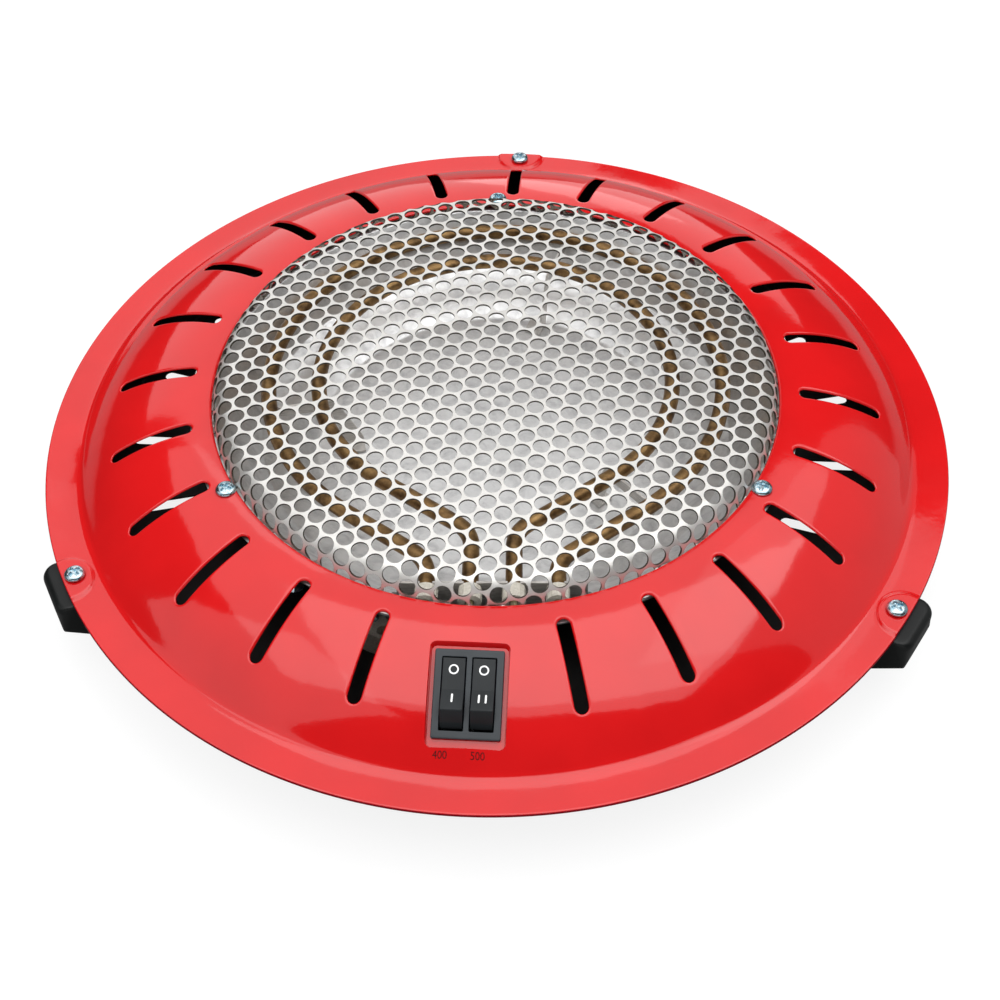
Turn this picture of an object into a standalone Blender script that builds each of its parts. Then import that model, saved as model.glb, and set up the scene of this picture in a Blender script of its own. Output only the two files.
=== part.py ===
"""Electric brazier: a round, low heater with two sheathed elements under a perforated grille.

Frame: the origin is on the floor under the middle of the disc, +Z is up, and the switch
faces -Y. Angles round the disc are counted from the switch, towards +X. Lengths are metres.
"""
import math

import bmesh
import bpy
from mathutils import Matrix, Vector

# Sheet metal and fits
SHEET = 0.0008            # wall of every pressed sheet
SEAT_GAP = 0.0003         # clearance between pieces that rest on each other
HOLE_CLEAR = 0.0004       # radial clearance of a screw or tube in its hole
OVERRUN = 0.004           # how far a cutter passes the sheet it cuts

# Top cover: a flat rim and one round arc up to the central opening
COVER_R = 0.190
RIM_Z = 0.038             # top of the rim above the floor
RIM_WIDTH = 0.0149
LIP_DEPTH = 0.0012        # turned-down edge of the rim
PAD_R = 0.0106            # pressed pads under the foot screws, round at their inner end
PAD_SHIFT = 0.0030        # pad's middle outside the screw circle
PAD_RISE = 0.0012
PAD_EDGE_INSET = 0.0005   # from the pad's open end to the rim's edge
DOME_RISE = 0.025         # crest of the arc above the rim
DOME_ARC_R = 0.0745
DOME_BAND_WIDTH = 0.0579  # from the rim's crease to the opening

# Vent slots, the same radial pattern in the cover and in the base pan
SLOT_PITCHES = 24
SLOT_WIDTH = 0.0052
SLOT_INSET = 0.0084       # from the opening to the slot's inner end
SLOT_OUTSET = 0.0151      # from the slot's outer end to the rim's crease

# Heater unit: grille, reflector and elements, turned a little in the cover
UNIT_TURN_DEG = 3.1
UNIT_FLANGE_WIDTH = 0.0092
UNIT_SCREW_INSET = 0.0036  # from the opening to the screw circle

# Grille: punched sheet drawn to a shallow crown
GRILLE_PITCH = 0.0184
GRILLE_HOLE_R = 0.0086
GRILLE_EDGE = 0.0012      # from the outermost holes' corners to the crown's edge
GRILLE_SHOULDER_W = 0.0060
GRILLE_SHOULDER_H = 0.0097
GRILLE_CROWN_H = 0.0046
GRILLE_TURN_DEG = 17.0    # direction of a row of holes in the heater unit
GRILLE_SIDE_CLEAR = 0.0007

# Reflector bowl: flange, steep wall, sloping ring and flat floor
BOWL_WALL_DROP = 0.0203
BOWL_WALL_RUN = 0.0170
BOWL_RING_DROP = 0.012
BOWL_RING_RUN = 0.022
BOWL_SIDE_CLEAR = 0.0012  # from the cover's opening to the top of the bowl's wall
TAB_SLOT_WIDTH = 0.0026
TAB_SLOT_DEG = (160.0, 175.0)

# Sheathed elements
TUBE_R = 0.00325
LOOP_RISE = 0.0278        # tube axis above the bowl's floor
LOOP_OFFSET = 0.0105      # loops' centre behind the disc's centre
LOOP_CLEAR = 0.0098       # from the top of the bowl's wall to the outer loop's axis, at the back
LOOP_PITCH = 0.021
LEAD_PITCH = 0.0165
LEAD_BEND_R = 0.014
LEAD_STRAIGHT = 0.0055    # outer lead's straight run before the bracket
TUBE_END = 0.0006         # tube past the bracket's far face
BUSH_R = 0.0045
BUSH_LENGTH = 0.0062
PIN_R = 0.0015
PIN_REACH = 0.0090        # terminal pin past its bush

# Element bracket and comb supports
BRACKET_SHEET = 0.0010
BRACKET_MARGIN = 0.0113   # from the outer tube's axis to the bracket's end
BRACKET_SETOUT = 0.0040   # web in front of the foot of the bowl's wall
BRACKET_FOOT_WIDTH = 0.020
BRACKET_FOOT_LENGTH = 0.014
WINDOW_SIDE_CLEAR = 0.0010
COMB_SHEET = 0.0010
COMB_DEGS = (41.0, 161.0, 281.0)
COMB_FOOT_IN = 0.0165     # from the inner loop's axis to the foot's inner end
COMB_FOOT_LENGTH = 0.008
COMB_TAB_WIDTH = 0.007
COMB_ARM_T = 0.0024       # arm under the tubes

# Screws and nuts
SCREW_R = 0.0020
SCREW_HEAD_R = 0.0041
SCREW_HEAD_H = 0.0024
UNIT_SCREW_LENGTH = 0.010
FOOT_SCREW_LENGTH = 0.014
FOOT_SCREW_INSET = 0.0052  # from the rim's edge to the screw circle
NUT_FLAT_R = 0.0035
NUT_H = 0.0032

# Base pan
PAN_DEPTH = 0.0174        # floor below the pan's flange
PAN_WALL_RUN = 0.0070
PAN_EDGE_CLEAR = 0.0005

# Feet, which are also the grips
FOOT_DEGS = (60.0, 180.0, 300.0)
FOOT_WIDTH = 0.0260
FOOT_OVERHANG = 0.0053    # past the rim's edge
FOOT_LIP_H = 0.0111
FOOT_DRAFT = 0.0003
FOOT_BASE_OUT = 0.0289    # from the foot's outer face to its base
FOOT_BASE_LENGTH = 0.016
FOOT_CORNER_R = 0.0030
FOOT_WALL_CLEAR = 0.0012

# Double rocker switch
SWITCH_SHIFT = 0.0043     # outwards from the middle of the dome band
BEZEL_WIDTH = 0.0251
BEZEL_LENGTH = 0.0324
BEZEL_H = 0.0020
POCKET_MARGIN = 0.0017
POCKET_CORNER_R = 0.0022
BEZEL_CORNER_R = 0.0010
HOUSING_WIDTH = 0.0216
HOUSING_LENGTH = 0.0290
HOUSING_DEPTH = 0.0160
HOUSING_WALL = 0.0010
ROCKER_WIDTH = 0.0082
ROCKER_LENGTH = 0.0260
ROCKER_GAP = 0.00035
ROCKER_SPACING = 0.0109   # between the two rockers' middles
ROCKER_PIVOT_DEPTH = 0.0060
ROCKER_PROUD = 0.0006
ROCKER_SWING_DEG = 25.0
ROCKER_KEEL = 0.0018
ROCKER_TIP_INSET = 0.0013  # from the rocker's end to the tip of its face, pressed
ROCKER_SKIRT = 0.0010     # widest point of the rocker above its pivot
TRUNNION_R = 0.0012
TRUNNION_LENGTH = 0.0008
SPADE_WIDTH = 0.0048
SPADE_T = 0.0008
SPADE_LENGTH = 0.0070
SPADE_INSET = 0.0085      # from the housing's end to a spade's middle

# Wiring fittings
BLOCK_LENGTH = 0.024
BLOCK_WIDTH = 0.015
BLOCK_H = 0.012
BLOCK_POLES = 2
BLOCK_FUNNEL_R = 0.0024
BLOCK_DEG = 338.0
EARTH_DEG = 316.0
FITTING_SETOUT = 0.011    # block and earth screw outside the foot of the bowl's wall
SMALL_SCREW_R = 0.0012
SMALL_SCREW_HEAD_R = 0.0022
SMALL_SCREW_HEAD_H = 0.0014
SMALL_SCREW_LENGTH = 0.0034
GROMMET_DEG = 330.0
GROMMET_BORE_R = 0.0037
GROMMET_NECK_R = 0.0056
GROMMET_FLANGE_R = 0.0076
GROMMET_FLANGE_T = 0.0018

# Facets
TURN_STEPS = 72
ARC_STEPS = 5
SCREW_STEPS = 12
END_STEPS = 3

# Sizes that follow from the ones above
CREASE_R = COVER_R - RIM_WIDTH
OPENING_R = CREASE_R - DOME_BAND_WIDTH
DOME_APEX_R = CREASE_R - math.sqrt(DOME_ARC_R ** 2 - (DOME_ARC_R - DOME_RISE) ** 2)
UNIT_FLANGE_R = OPENING_R + UNIT_FLANGE_WIDTH
UNIT_SCREW_R = OPENING_R + UNIT_SCREW_INSET
SLOT_IN_R = OPENING_R + SLOT_INSET
SLOT_OUT_R = CREASE_R - SLOT_OUTSET
LIP_BOTTOM_Z = RIM_Z - LIP_DEPTH
BOWL_TOP_R = OPENING_R - BOWL_SIDE_CLEAR
BOWL_RING_R = BOWL_TOP_R - BOWL_WALL_RUN
BOWL_FLOOR_R = BOWL_RING_R - BOWL_RING_RUN
OUTER_LOOP_R = BOWL_TOP_R - LOOP_OFFSET - LOOP_CLEAR
INNER_LOOP_R = OUTER_LOOP_R - LOOP_PITCH
FITTING_R = BOWL_RING_R + FITTING_SETOUT


def dome_z(radius):
    """Height of the cover's outer skin on its arc."""
    return RIM_Z + DOME_RISE - DOME_ARC_R + math.sqrt(DOME_ARC_R ** 2 - (radius - DOME_APEX_R) ** 2)


UNIT_TOP_Z = min(dome_z(OPENING_R), dome_z(UNIT_FLANGE_R)) - SHEET - SEAT_GAP
BOWL_RIM_Z = UNIT_TOP_Z - SHEET - SEAT_GAP
BOWL_RING_Z = BOWL_RIM_Z - BOWL_WALL_DROP
BOWL_FLOOR_Z = BOWL_RING_Z - BOWL_RING_DROP
LOOP_Z = BOWL_FLOOR_Z + LOOP_RISE
PAN_TOP_Z = RIM_Z - SHEET - SEAT_GAP
PAN_FLOOR_Z = PAN_TOP_Z - PAN_DEPTH
PAN_OUT_R = COVER_R - SHEET - PAN_EDGE_CLEAR
PAN_FLOOR_R = CREASE_R - PAN_WALL_RUN
FOOT_TOP_Z = PAN_TOP_Z - SHEET - SEAT_GAP
FOOT_OUT_R = COVER_R + FOOT_OVERHANG
FOOT_SCREW_R = COVER_R - FOOT_SCREW_INSET
WEB_Y = -(BOWL_RING_R + BRACKET_SETOUT)
OUTER_LEAD_X = LEAD_PITCH * 1.5
INNER_LEAD_X = LEAD_PITCH * 0.5
BRACKET_WIDTH = 2 * (OUTER_LEAD_X + BRACKET_MARGIN)


def clear_scene():
    for old in list(bpy.data.objects):
        bpy.data.objects.remove(old, do_unlink=True)


def material(name, colour, roughness, metallic):
    mat = bpy.data.materials.new(name)
    mat.use_nodes = True
    shader = mat.node_tree.nodes["Principled BSDF"]
    shader.inputs["Base Color"].default_value = (*colour, 1.0)
    shader.inputs["Roughness"].default_value = roughness
    shader.inputs["Metallic"].default_value = metallic
    mat.diffuse_color = (*colour, 1.0)
    return mat


def add_object(name, data, mat=None, parent=None, location=(0, 0, 0), rotation=(0, 0, 0)):
    obj = bpy.data.objects.new(name, data)
    bpy.context.scene.collection.objects.link(obj)
    obj.location = location
    obj.rotation_euler = rotation
    obj.parent = parent
    if mat is not None and not data.materials:
        data.materials.append(mat)
    return obj


def add_empty(name, parent=None, location=(0, 0, 0), rotation=(0, 0, 0)):
    empty = bpy.data.objects.new(name, None)
    bpy.context.scene.collection.objects.link(empty)
    empty.location = location
    empty.rotation_euler = rotation
    empty.parent = parent
    return empty


def finish_mesh(name, bm, smooth_deg=35.0):
    bmesh.ops.recalc_face_normals(bm, faces=bm.faces)
    mesh = bpy.data.meshes.new(name)
    bm.to_mesh(mesh)
    bm.free()
    mesh.shade_smooth()
    mesh.set_sharp_from_angle(angle=math.radians(smooth_deg))
    return mesh


def add_turned(bm, profile, steps, matrix=Matrix()):
    """Spin a closed outline of (radius, height) pairs round Z and add it to bm."""
    part = bmesh.new()
    verts = [part.verts.new((radius, 0, height)) for radius, height in profile]
    for index, vert in enumerate(verts):
        part.edges.new((vert, verts[(index + 1) % len(verts)]))
    on_axis = [edge for edge in part.edges if all(vert.co.x == 0 for vert in edge.verts)]
    bmesh.ops.delete(part, geom=on_axis, context="EDGES_FACES")
    bmesh.ops.spin(part, geom=part.verts[:] + part.edges[:], axis=(0, 0, 1), cent=(0, 0, 0),
                   angle=math.tau, steps=steps, use_merge=True, use_duplicate=False)
    bmesh.ops.remove_doubles(part, verts=part.verts, dist=SHEET / steps)
    join_into(bm, part, matrix)


def add_prism(bm, outline, low, high, matrix=Matrix()):
    """Extrude a closed outline of (x, y) pairs from height low to height high and add it to bm."""
    part = bmesh.new()
    face = part.faces.new([part.verts.new((x, y, low)) for x, y in outline])
    raised = bmesh.ops.extrude_face_region(part, geom=[face])["geom"]
    top = [item for item in raised if isinstance(item, bmesh.types.BMVert)]
    bmesh.ops.translate(part, vec=(0, 0, high - low), verts=top)
    join_into(bm, part, matrix)


def join_into(bm, part, matrix):
    bmesh.ops.recalc_face_normals(part, faces=part.faces)
    part.transform(matrix)
    scratch = bpy.data.meshes.new("scratch")
    part.to_mesh(scratch)
    part.free()
    bm.from_mesh(scratch)
    bpy.data.meshes.remove(scratch)


def turned_mesh(name, profile, steps=TURN_STEPS, smooth_deg=35.0):
    bm = bmesh.new()
    add_turned(bm, profile, steps)
    return finish_mesh(name, bm, smooth_deg)


def prism_mesh(name, outline, low, high):
    bm = bmesh.new()
    add_prism(bm, outline, low, high)
    return finish_mesh(name, bm)


def rounded_rectangle(width, length, radius, steps=END_STEPS):
    """Outline of a rectangle on the origin with its corners rounded."""
    points = []
    for corner, (side_x, side_y) in enumerate(((1, 1), (-1, 1), (-1, -1), (1, -1))):
        middle_x = side_x * (width / 2 - radius)
        middle_y = side_y * (length / 2 - radius)
        for step in range(steps + 1):
            angle = math.radians(90.0 * (corner + step / steps))
            points.append((middle_x + radius * math.cos(angle), middle_y + radius * math.sin(angle)))
    return points


def stadium(length, width, steps=END_STEPS):
    """Outline of a slot that runs along Y from the origin, with round ends."""
    radius = width / 2
    points = []
    for step in range(steps + 1):
        angle = math.pi * step / steps
        points.append((radius * math.cos(angle), length - radius + radius * math.sin(angle)))
    for step in range(steps + 1):
        angle = math.pi + math.pi * step / steps
        points.append((radius * math.cos(angle), radius + radius * math.sin(angle)))
    return points


def pad_outline(half, length):
    """Outline of a pad along Y: round at its start, square at its end."""
    steps = 2 * END_STEPS
    points = [(half, length), (-half, length)]
    for step in range(steps + 1):
        angle = math.pi * (1 + step / steps)
        points.append((half * math.cos(angle), half + half * math.sin(angle)))
    return points


def polygon(radius, sides, turn_deg=0.0):
    turn = math.radians(turn_deg)
    return [(radius * math.cos(turn + math.tau * side / sides), radius * math.sin(turn + math.tau * side / sides))
            for side in range(sides)]


def around(angle_deg, radius=0.0, height=0.0):
    """Frame whose +Y points outwards, at an angle counted from the switch towards +X."""
    turn = Matrix.Rotation(math.radians(angle_deg + 180.0), 4, "Z")
    return turn @ Matrix.Translation((0, radius, height))


def cut(target, cutter, operation="DIFFERENCE"):
    """Boolean the cutter off the target, and keep the cutter as a hidden guide."""
    cutter.hide_render = True
    cutter.display_type = "WIRE"
    modifier = target.modifiers.new(cutter.name, "BOOLEAN")
    modifier.operation = operation
    modifier.solver = "EXACT"
    modifier.object = cutter


def add_cutter(name, bm, parent=None):
    return add_object(name, finish_mesh(name, bm), parent=parent)


def offset_line(profile, distance):
    """Move an open line of (radius, height) points sideways, to its left, by one distance."""
    moved = []
    for index, point in enumerate(profile):
        before = Vector(profile[max(index - 1, 0)])
        here = Vector(point)
        after = Vector(profile[min(index + 1, len(profile) - 1)])
        normals = []
        for start, end in ((before, here), (here, after)):
            if (end - start).length > 0:
                along = (end - start).normalized()
                normals.append(Vector((-along.y, along.x)))
        mean = sum(normals, Vector((0.0, 0.0))) / len(normals)
        moved.append(tuple(here + mean * distance / mean.length_squared))
    return moved


def sheet_profile(line, thickness):
    """Closed outline of a sheet whose outer skin is the line and whose wall lies to its left."""
    return list(line) + list(reversed(offset_line(line, thickness)))


def cover_line():
    """Outer skin of the cover from the rim's crease up the arc, over the unit's flange, to the opening."""
    radii = [CREASE_R + (UNIT_FLANGE_R - CREASE_R) * (step / ARC_STEPS) ** 1.15 for step in range(ARC_STEPS + 1)]
    return [(radius, dome_z(radius)) for radius in radii + [OPENING_R]]


def switch_frame_values():
    """Middle of the switch's face and its tilt: it lies on a chord of the dome."""
    middle_r = (OPENING_R + CREASE_R) / 2 + SWITCH_SHIFT
    half = BEZEL_LENGTH / 2
    inner_r = middle_r - half
    outer_r = middle_r + half
    tilt = math.atan2(dome_z(inner_r) - dome_z(outer_r), outer_r - inner_r)
    return middle_r, (dome_z(inner_r) + dome_z(outer_r)) / 2, tilt


def slot_cutter(name, angles_deg, inner_r, outer_r, low, high):
    bm = bmesh.new()
    for angle in angles_deg:
        add_prism(bm, stadium(outer_r - inner_r, SLOT_WIDTH), low, high, around(angle, inner_r))
    return add_cutter(name, bm)


def hole_cutter(name, angles_deg, circle_r, hole_r, low, high, parent=None):
    bm = bmesh.new()
    for angle in angles_deg:
        add_prism(bm, polygon(hole_r, SCREW_STEPS), low, high, around(angle, circle_r))
    return add_cutter(name, bm, parent)


def build_cover(mat, unit, switch):
    """Pressed cover: solid outer form less solid inner form, so the wall stays even."""
    skin = cover_line()
    inner_skin = offset_line(skin, SHEET)
    below = LIP_BOTTOM_Z - OVERRUN
    outer_form = skin + [(OPENING_R, LIP_BOTTOM_Z), (COVER_R, LIP_BOTTOM_Z), (COVER_R, RIM_Z)]
    inner_form = [(CREASE_R - SHEET * math.tan(math.radians(12.0)), RIM_Z - SHEET)] + inner_skin[1:-1]
    inner_form += [(OPENING_R - OVERRUN, inner_skin[-1][1]), (OPENING_R - OVERRUN, below),
                   (COVER_R - SHEET, below), (COVER_R - SHEET, RIM_Z - SHEET)]
    cover = add_object("top_cover", turned_mesh("top_cover", outer_form), mat)
    inner = add_object("cover_inner_form", turned_mesh("cover_inner_form", inner_form))
    for name, margin, floor, body in (("pocket_form", POCKET_MARGIN, BEZEL_H + SEAT_GAP, cover),
                                      ("pocket_inner_form", POCKET_MARGIN + SHEET,
                                       BEZEL_H + SEAT_GAP + SHEET, inner)):
        bm = bmesh.new()
        outline = rounded_rectangle(BEZEL_WIDTH + 2 * margin, BEZEL_LENGTH + 2 * margin,
                                    POCKET_CORNER_R + margin - POCKET_MARGIN)
        add_prism(bm, outline, -floor, HOUSING_DEPTH)
        cut(body, add_cutter(name, bm, switch))
    for name, inset, drop, body in (("pad_form", 0.0, 0.0, cover), ("pad_inner_form", SHEET, SHEET, inner)):
        half = PAD_R - inset
        start = FOOT_SCREW_R + PAD_SHIFT - half
        bm = bmesh.new()
        for angle in FOOT_DEGS:
            outline = pad_outline(half, COVER_R - PAD_EDGE_INSET - inset - start)
            add_prism(bm, outline, RIM_Z - drop - PAD_RISE, RIM_Z - drop + PAD_RISE, around(angle, start))
        cut(body, add_cutter(name, bm), "UNION")
    cut(cover, inner)
    vents = [360.0 * index / SLOT_PITCHES for index in range(1, SLOT_PITCHES)]
    cut(cover, slot_cutter("cover_slots", vents, SLOT_IN_R, SLOT_OUT_R, RIM_Z, RIM_Z + DOME_RISE + OVERRUN))
    bm = bmesh.new()
    add_prism(bm, rounded_rectangle(HOUSING_WIDTH + 2 * HOLE_CLEAR, HOUSING_LENGTH + 2 * HOLE_CLEAR,
                                    BEZEL_CORNER_R), -BEZEL_H - OVERRUN, 0)
    cut(cover, add_cutter("switch_opening", bm, switch))
    cut(cover, hole_cutter("cover_foot_holes", FOOT_DEGS, FOOT_SCREW_R, SCREW_R + HOLE_CLEAR,
                           LIP_BOTTOM_Z - OVERRUN, RIM_Z + OVERRUN))
    cut(cover, hole_cutter("cover_unit_holes", FOOT_DEGS, UNIT_SCREW_R, SCREW_R + HOLE_CLEAR,
                           BOWL_RIM_Z - OVERRUN, RIM_Z + DOME_RISE + OVERRUN, unit))
    return cover


def grille_height(radius):
    """Height of the grille's top skin: a low crown inside a round shoulder."""
    crown_r = OPENING_R - GRILLE_SIDE_CLEAR - GRILLE_SHOULDER_W
    if radius <= crown_r:
        return UNIT_TOP_Z + GRILLE_SHOULDER_H + GRILLE_CROWN_H * (1 - (radius / crown_r) ** 2)
    share = min((radius - crown_r) / GRILLE_SHOULDER_W, 1.0)
    return UNIT_TOP_Z + GRILLE_SHOULDER_H * math.sqrt(1 - share ** 2)


def build_grille(mat, unit):
    """Punched grille: six-sided holes on a staggered pattern, then the sheet is drawn to its crown."""
    crown_r = OPENING_R - GRILLE_SIDE_CLEAR - GRILLE_SHOULDER_W
    bm = bmesh.new()
    rim = [bm.verts.new((x, y, 0)) for x, y in polygon(crown_r, TURN_STEPS)]
    for index, vert in enumerate(rim):
        bm.edges.new((vert, rim[(index + 1) % TURN_STEPS]))
    row_pitch = GRILLE_PITCH * math.sin(math.radians(60.0))
    rows = int(crown_r / row_pitch)
    columns = int(crown_r / GRILLE_PITCH) + 1
    turn = Matrix.Rotation(math.radians(GRILLE_TURN_DEG), 2)
    for row in range(-rows, rows + 1):
        for column in range(-columns, columns + 1):
            place = turn @ Vector((GRILLE_PITCH * (column + (row % 2) / 2), row_pitch * row))
            if place.length + GRILLE_HOLE_R + GRILLE_EDGE > crown_r:
                continue
            corners = polygon(GRILLE_HOLE_R, 6, 30.0 + GRILLE_TURN_DEG)
            ring = [bm.verts.new((place.x + dx, place.y + dy, 0)) for dx, dy in corners]
            for index, vert in enumerate(ring):
                bm.edges.new((vert, ring[(index + 1) % 6]))
    bmesh.ops.triangle_fill(bm, edges=bm.edges, use_beauty=True, normal=(0, 0, 1))
    ring_shares = (0.5, 0.87, 1.0)
    edge_radii = [crown_r + GRILLE_SHOULDER_W * share for share in ring_shares] + [UNIT_FLANGE_R]
    loop = rim
    for radius in edge_radii:
        outer = [bm.verts.new((x, y, 0)) for x, y in polygon(radius, TURN_STEPS)]
        for index in range(TURN_STEPS):
            follow = (index + 1) % TURN_STEPS
            bm.faces.new((loop[index], outer[index], outer[follow], loop[follow]))
        loop = outer
    for vert in bm.verts:
        vert.co.z = grille_height(math.hypot(vert.co.x, vert.co.y))
    bmesh.ops.recalc_face_normals(bm, faces=bm.faces)
    if sum(face.normal.z for face in bm.faces) < 0:
        bmesh.ops.reverse_faces(bm, faces=bm.faces)
    mesh = bpy.data.meshes.new("grille")
    bm.to_mesh(mesh)
    bm.free()
    grille = add_object("grille", mesh, mat, unit)
    wall = grille.modifiers.new("sheet", "SOLIDIFY")
    wall.thickness = SHEET
    wall.offset = -1.0
    cut(grille, hole_cutter("grille_unit_holes", FOOT_DEGS, UNIT_SCREW_R, SCREW_R + HOLE_CLEAR,
                            BOWL_RIM_Z, RIM_Z + DOME_RISE + OVERRUN, unit))
    return grille


def bowl_line():
    """Inner skin of the reflector from its flange down the wall to the middle of the floor."""
    return [(UNIT_FLANGE_R, BOWL_RIM_Z), (BOWL_TOP_R, BOWL_RIM_Z), (BOWL_RING_R, BOWL_RING_Z),
            (BOWL_FLOOR_R, BOWL_FLOOR_Z)]


def build_reflector(mat, unit):
    line = bowl_line()
    outside = offset_line(line, SHEET)
    profile = line + [(0, BOWL_FLOOR_Z), (0, BOWL_FLOOR_Z - SHEET)] + list(reversed(outside))
    reflector = add_object("reflector", turned_mesh("reflector", profile), mat, unit)
    bm = bmesh.new()
    half = BRACKET_WIDTH / 2 + WINDOW_SIDE_CLEAR
    window_y = WEB_Y + BRACKET_SHEET / 2 + SEAT_GAP
    front_y = -(BOWL_TOP_R + SEAT_GAP)
    add_prism(bm, [(-half, front_y), (half, front_y), (half, window_y), (-half, window_y)],
              BOWL_RING_Z - SHEET, BOWL_RIM_Z - 2 * SHEET)
    cut(reflector, add_cutter("reflector_window", bm, unit))
    cut(reflector, hole_cutter("reflector_unit_holes", FOOT_DEGS, UNIT_SCREW_R, SCREW_R + HOLE_CLEAR,
                               BOWL_RIM_Z - OVERRUN, BOWL_RIM_Z + OVERRUN, unit))
    bm = bmesh.new()
    add_prism(bm, polygon(SCREW_R + HOLE_CLEAR, SCREW_STEPS), -OVERRUN, OVERRUN, ring_frame())
    arc = []
    for radius, order in ((BOWL_FLOOR_R, -1), (BOWL_FLOOR_R - TAB_SLOT_WIDTH, 1)):
        for angle in TAB_SLOT_DEG[::order]:
            arc.append((radius * math.sin(math.radians(angle)), -radius * math.cos(math.radians(angle))))
    add_prism(bm, arc, BOWL_FLOOR_Z - OVERRUN, BOWL_FLOOR_Z + OVERRUN)
    cut(reflector, add_cutter("reflector_ring_holes", bm, unit))
    return reflector


def ring_frame():
    """Frame on the sloping ring at the bracket's screw: +Z is the ring's normal, +Y runs down it."""
    slope = math.atan2(BOWL_RING_DROP, BOWL_RING_RUN)
    down = BRACKET_FOOT_LENGTH / 2
    place = Matrix.Translation((0, down * math.cos(slope) - BOWL_RING_R, BOWL_RING_Z - down * math.sin(slope)))
    return place @ Matrix.Rotation(-slope, 4, "X")


def bend_end_y(angle):
    """Where the outer lead's bend ends when the loop is left at an angle from the front."""
    bend_x = OUTER_LEAD_X + LEAD_BEND_R * (1 - math.sin(angle))
    return (LOOP_OFFSET - OUTER_LOOP_R / math.cos(angle) + bend_x * math.tan(angle)
            - LEAD_BEND_R * math.cos(angle))


def lead_angle():
    """Angle at which both loops are left, so that the outer lead runs straight before the bracket."""
    low = math.asin((OUTER_LEAD_X + LEAD_BEND_R) / OUTER_LOOP_R)
    high = math.radians(80.0)
    for _ in range(40):
        middle = (low + high) / 2
        if bend_end_y(middle) > WEB_Y + LEAD_STRAIGHT:
            low = middle
        else:
            high = middle
    return low


def element_path(loop_r, lead_x):
    """Tube axis: straight lead, bend, tangent, round loop, and the same again mirrored."""
    angle = lead_angle()
    tangent = Vector((loop_r * math.sin(angle), LOOP_OFFSET - loop_r * math.cos(angle)))
    along = Vector((-math.cos(angle), -math.sin(angle)))
    bend_x = lead_x + LEAD_BEND_R * (1 - math.sin(angle))
    start = tangent + along * ((tangent.x - bend_x) / math.cos(angle))
    centre = start + LEAD_BEND_R * Vector((math.sin(angle), -math.cos(angle)))
    bend_steps = 4
    half = [Vector((lead_x, WEB_Y - BRACKET_SHEET / 2 - TUBE_END))]
    for step in range(bend_steps + 1):
        turn = math.pi - (math.pi / 2 - angle) * step / bend_steps
        half.append(centre + LEAD_BEND_R * Vector((math.cos(turn), math.sin(turn))))
    loop_steps = 30
    loop = []
    for step in range(loop_steps + 1):
        turn = angle + (math.tau - 2 * angle) * step / loop_steps
        loop.append(Vector((loop_r * math.sin(turn), LOOP_OFFSET - loop_r * math.cos(turn))))
    mirrored = [Vector((-point.x, point.y)) for point in reversed(half)]
    return half + loop + mirrored


def build_element(name, mat, unit, loop_r, lead_x):
    points = element_path(loop_r, lead_x)
    curve = bpy.data.curves.new(name, "CURVE")
    curve.dimensions = "3D"
    curve.bevel_depth = TUBE_R
    curve.bevel_resolution = 2
    curve.use_fill_caps = True
    spline = curve.splines.new("POLY")
    spline.points.add(len(points) - 1)
    for target, point in zip(spline.points, points):
        target.co = (point.x, point.y, LOOP_Z, 1.0)
    return add_object(name, curve, mat, unit)


def build_terminals(bush_mat, pin_mat, unit):
    """Ceramic bush and steel pin on each of the four tube ends."""
    tube_end = WEB_Y - BRACKET_SHEET / 2 - TUBE_END - SEAT_GAP
    lie_down = Matrix.Rotation(math.radians(90.0), 4, "X")
    bore = PIN_R + SEAT_GAP
    bush_form = [(bore, 0), (BUSH_R, 0), (BUSH_R, BUSH_LENGTH), (bore, BUSH_LENGTH)]
    pin_form = [(0, 0), (PIN_R, 0), (PIN_R, BUSH_LENGTH + PIN_REACH), (0, BUSH_LENGTH + PIN_REACH)]
    bush_mesh = turned_mesh("terminal_bush", bush_form, SCREW_STEPS)
    pin_mesh = turned_mesh("terminal_pin", pin_form, SCREW_STEPS // 2 + 2)
    places = (("outer_left", -OUTER_LEAD_X), ("inner_left", -INNER_LEAD_X),
              ("inner_right", INNER_LEAD_X), ("outer_right", OUTER_LEAD_X))
    for name, lead_x in places:
        where = (lead_x, tube_end, LOOP_Z)
        for kind, mesh, mat in (("bush", bush_mesh, bush_mat), ("pin", pin_mesh, pin_mat)):
            add_object(f"terminal_{kind}_{name}", mesh, mat, unit, where, lie_down.to_euler())


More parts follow.
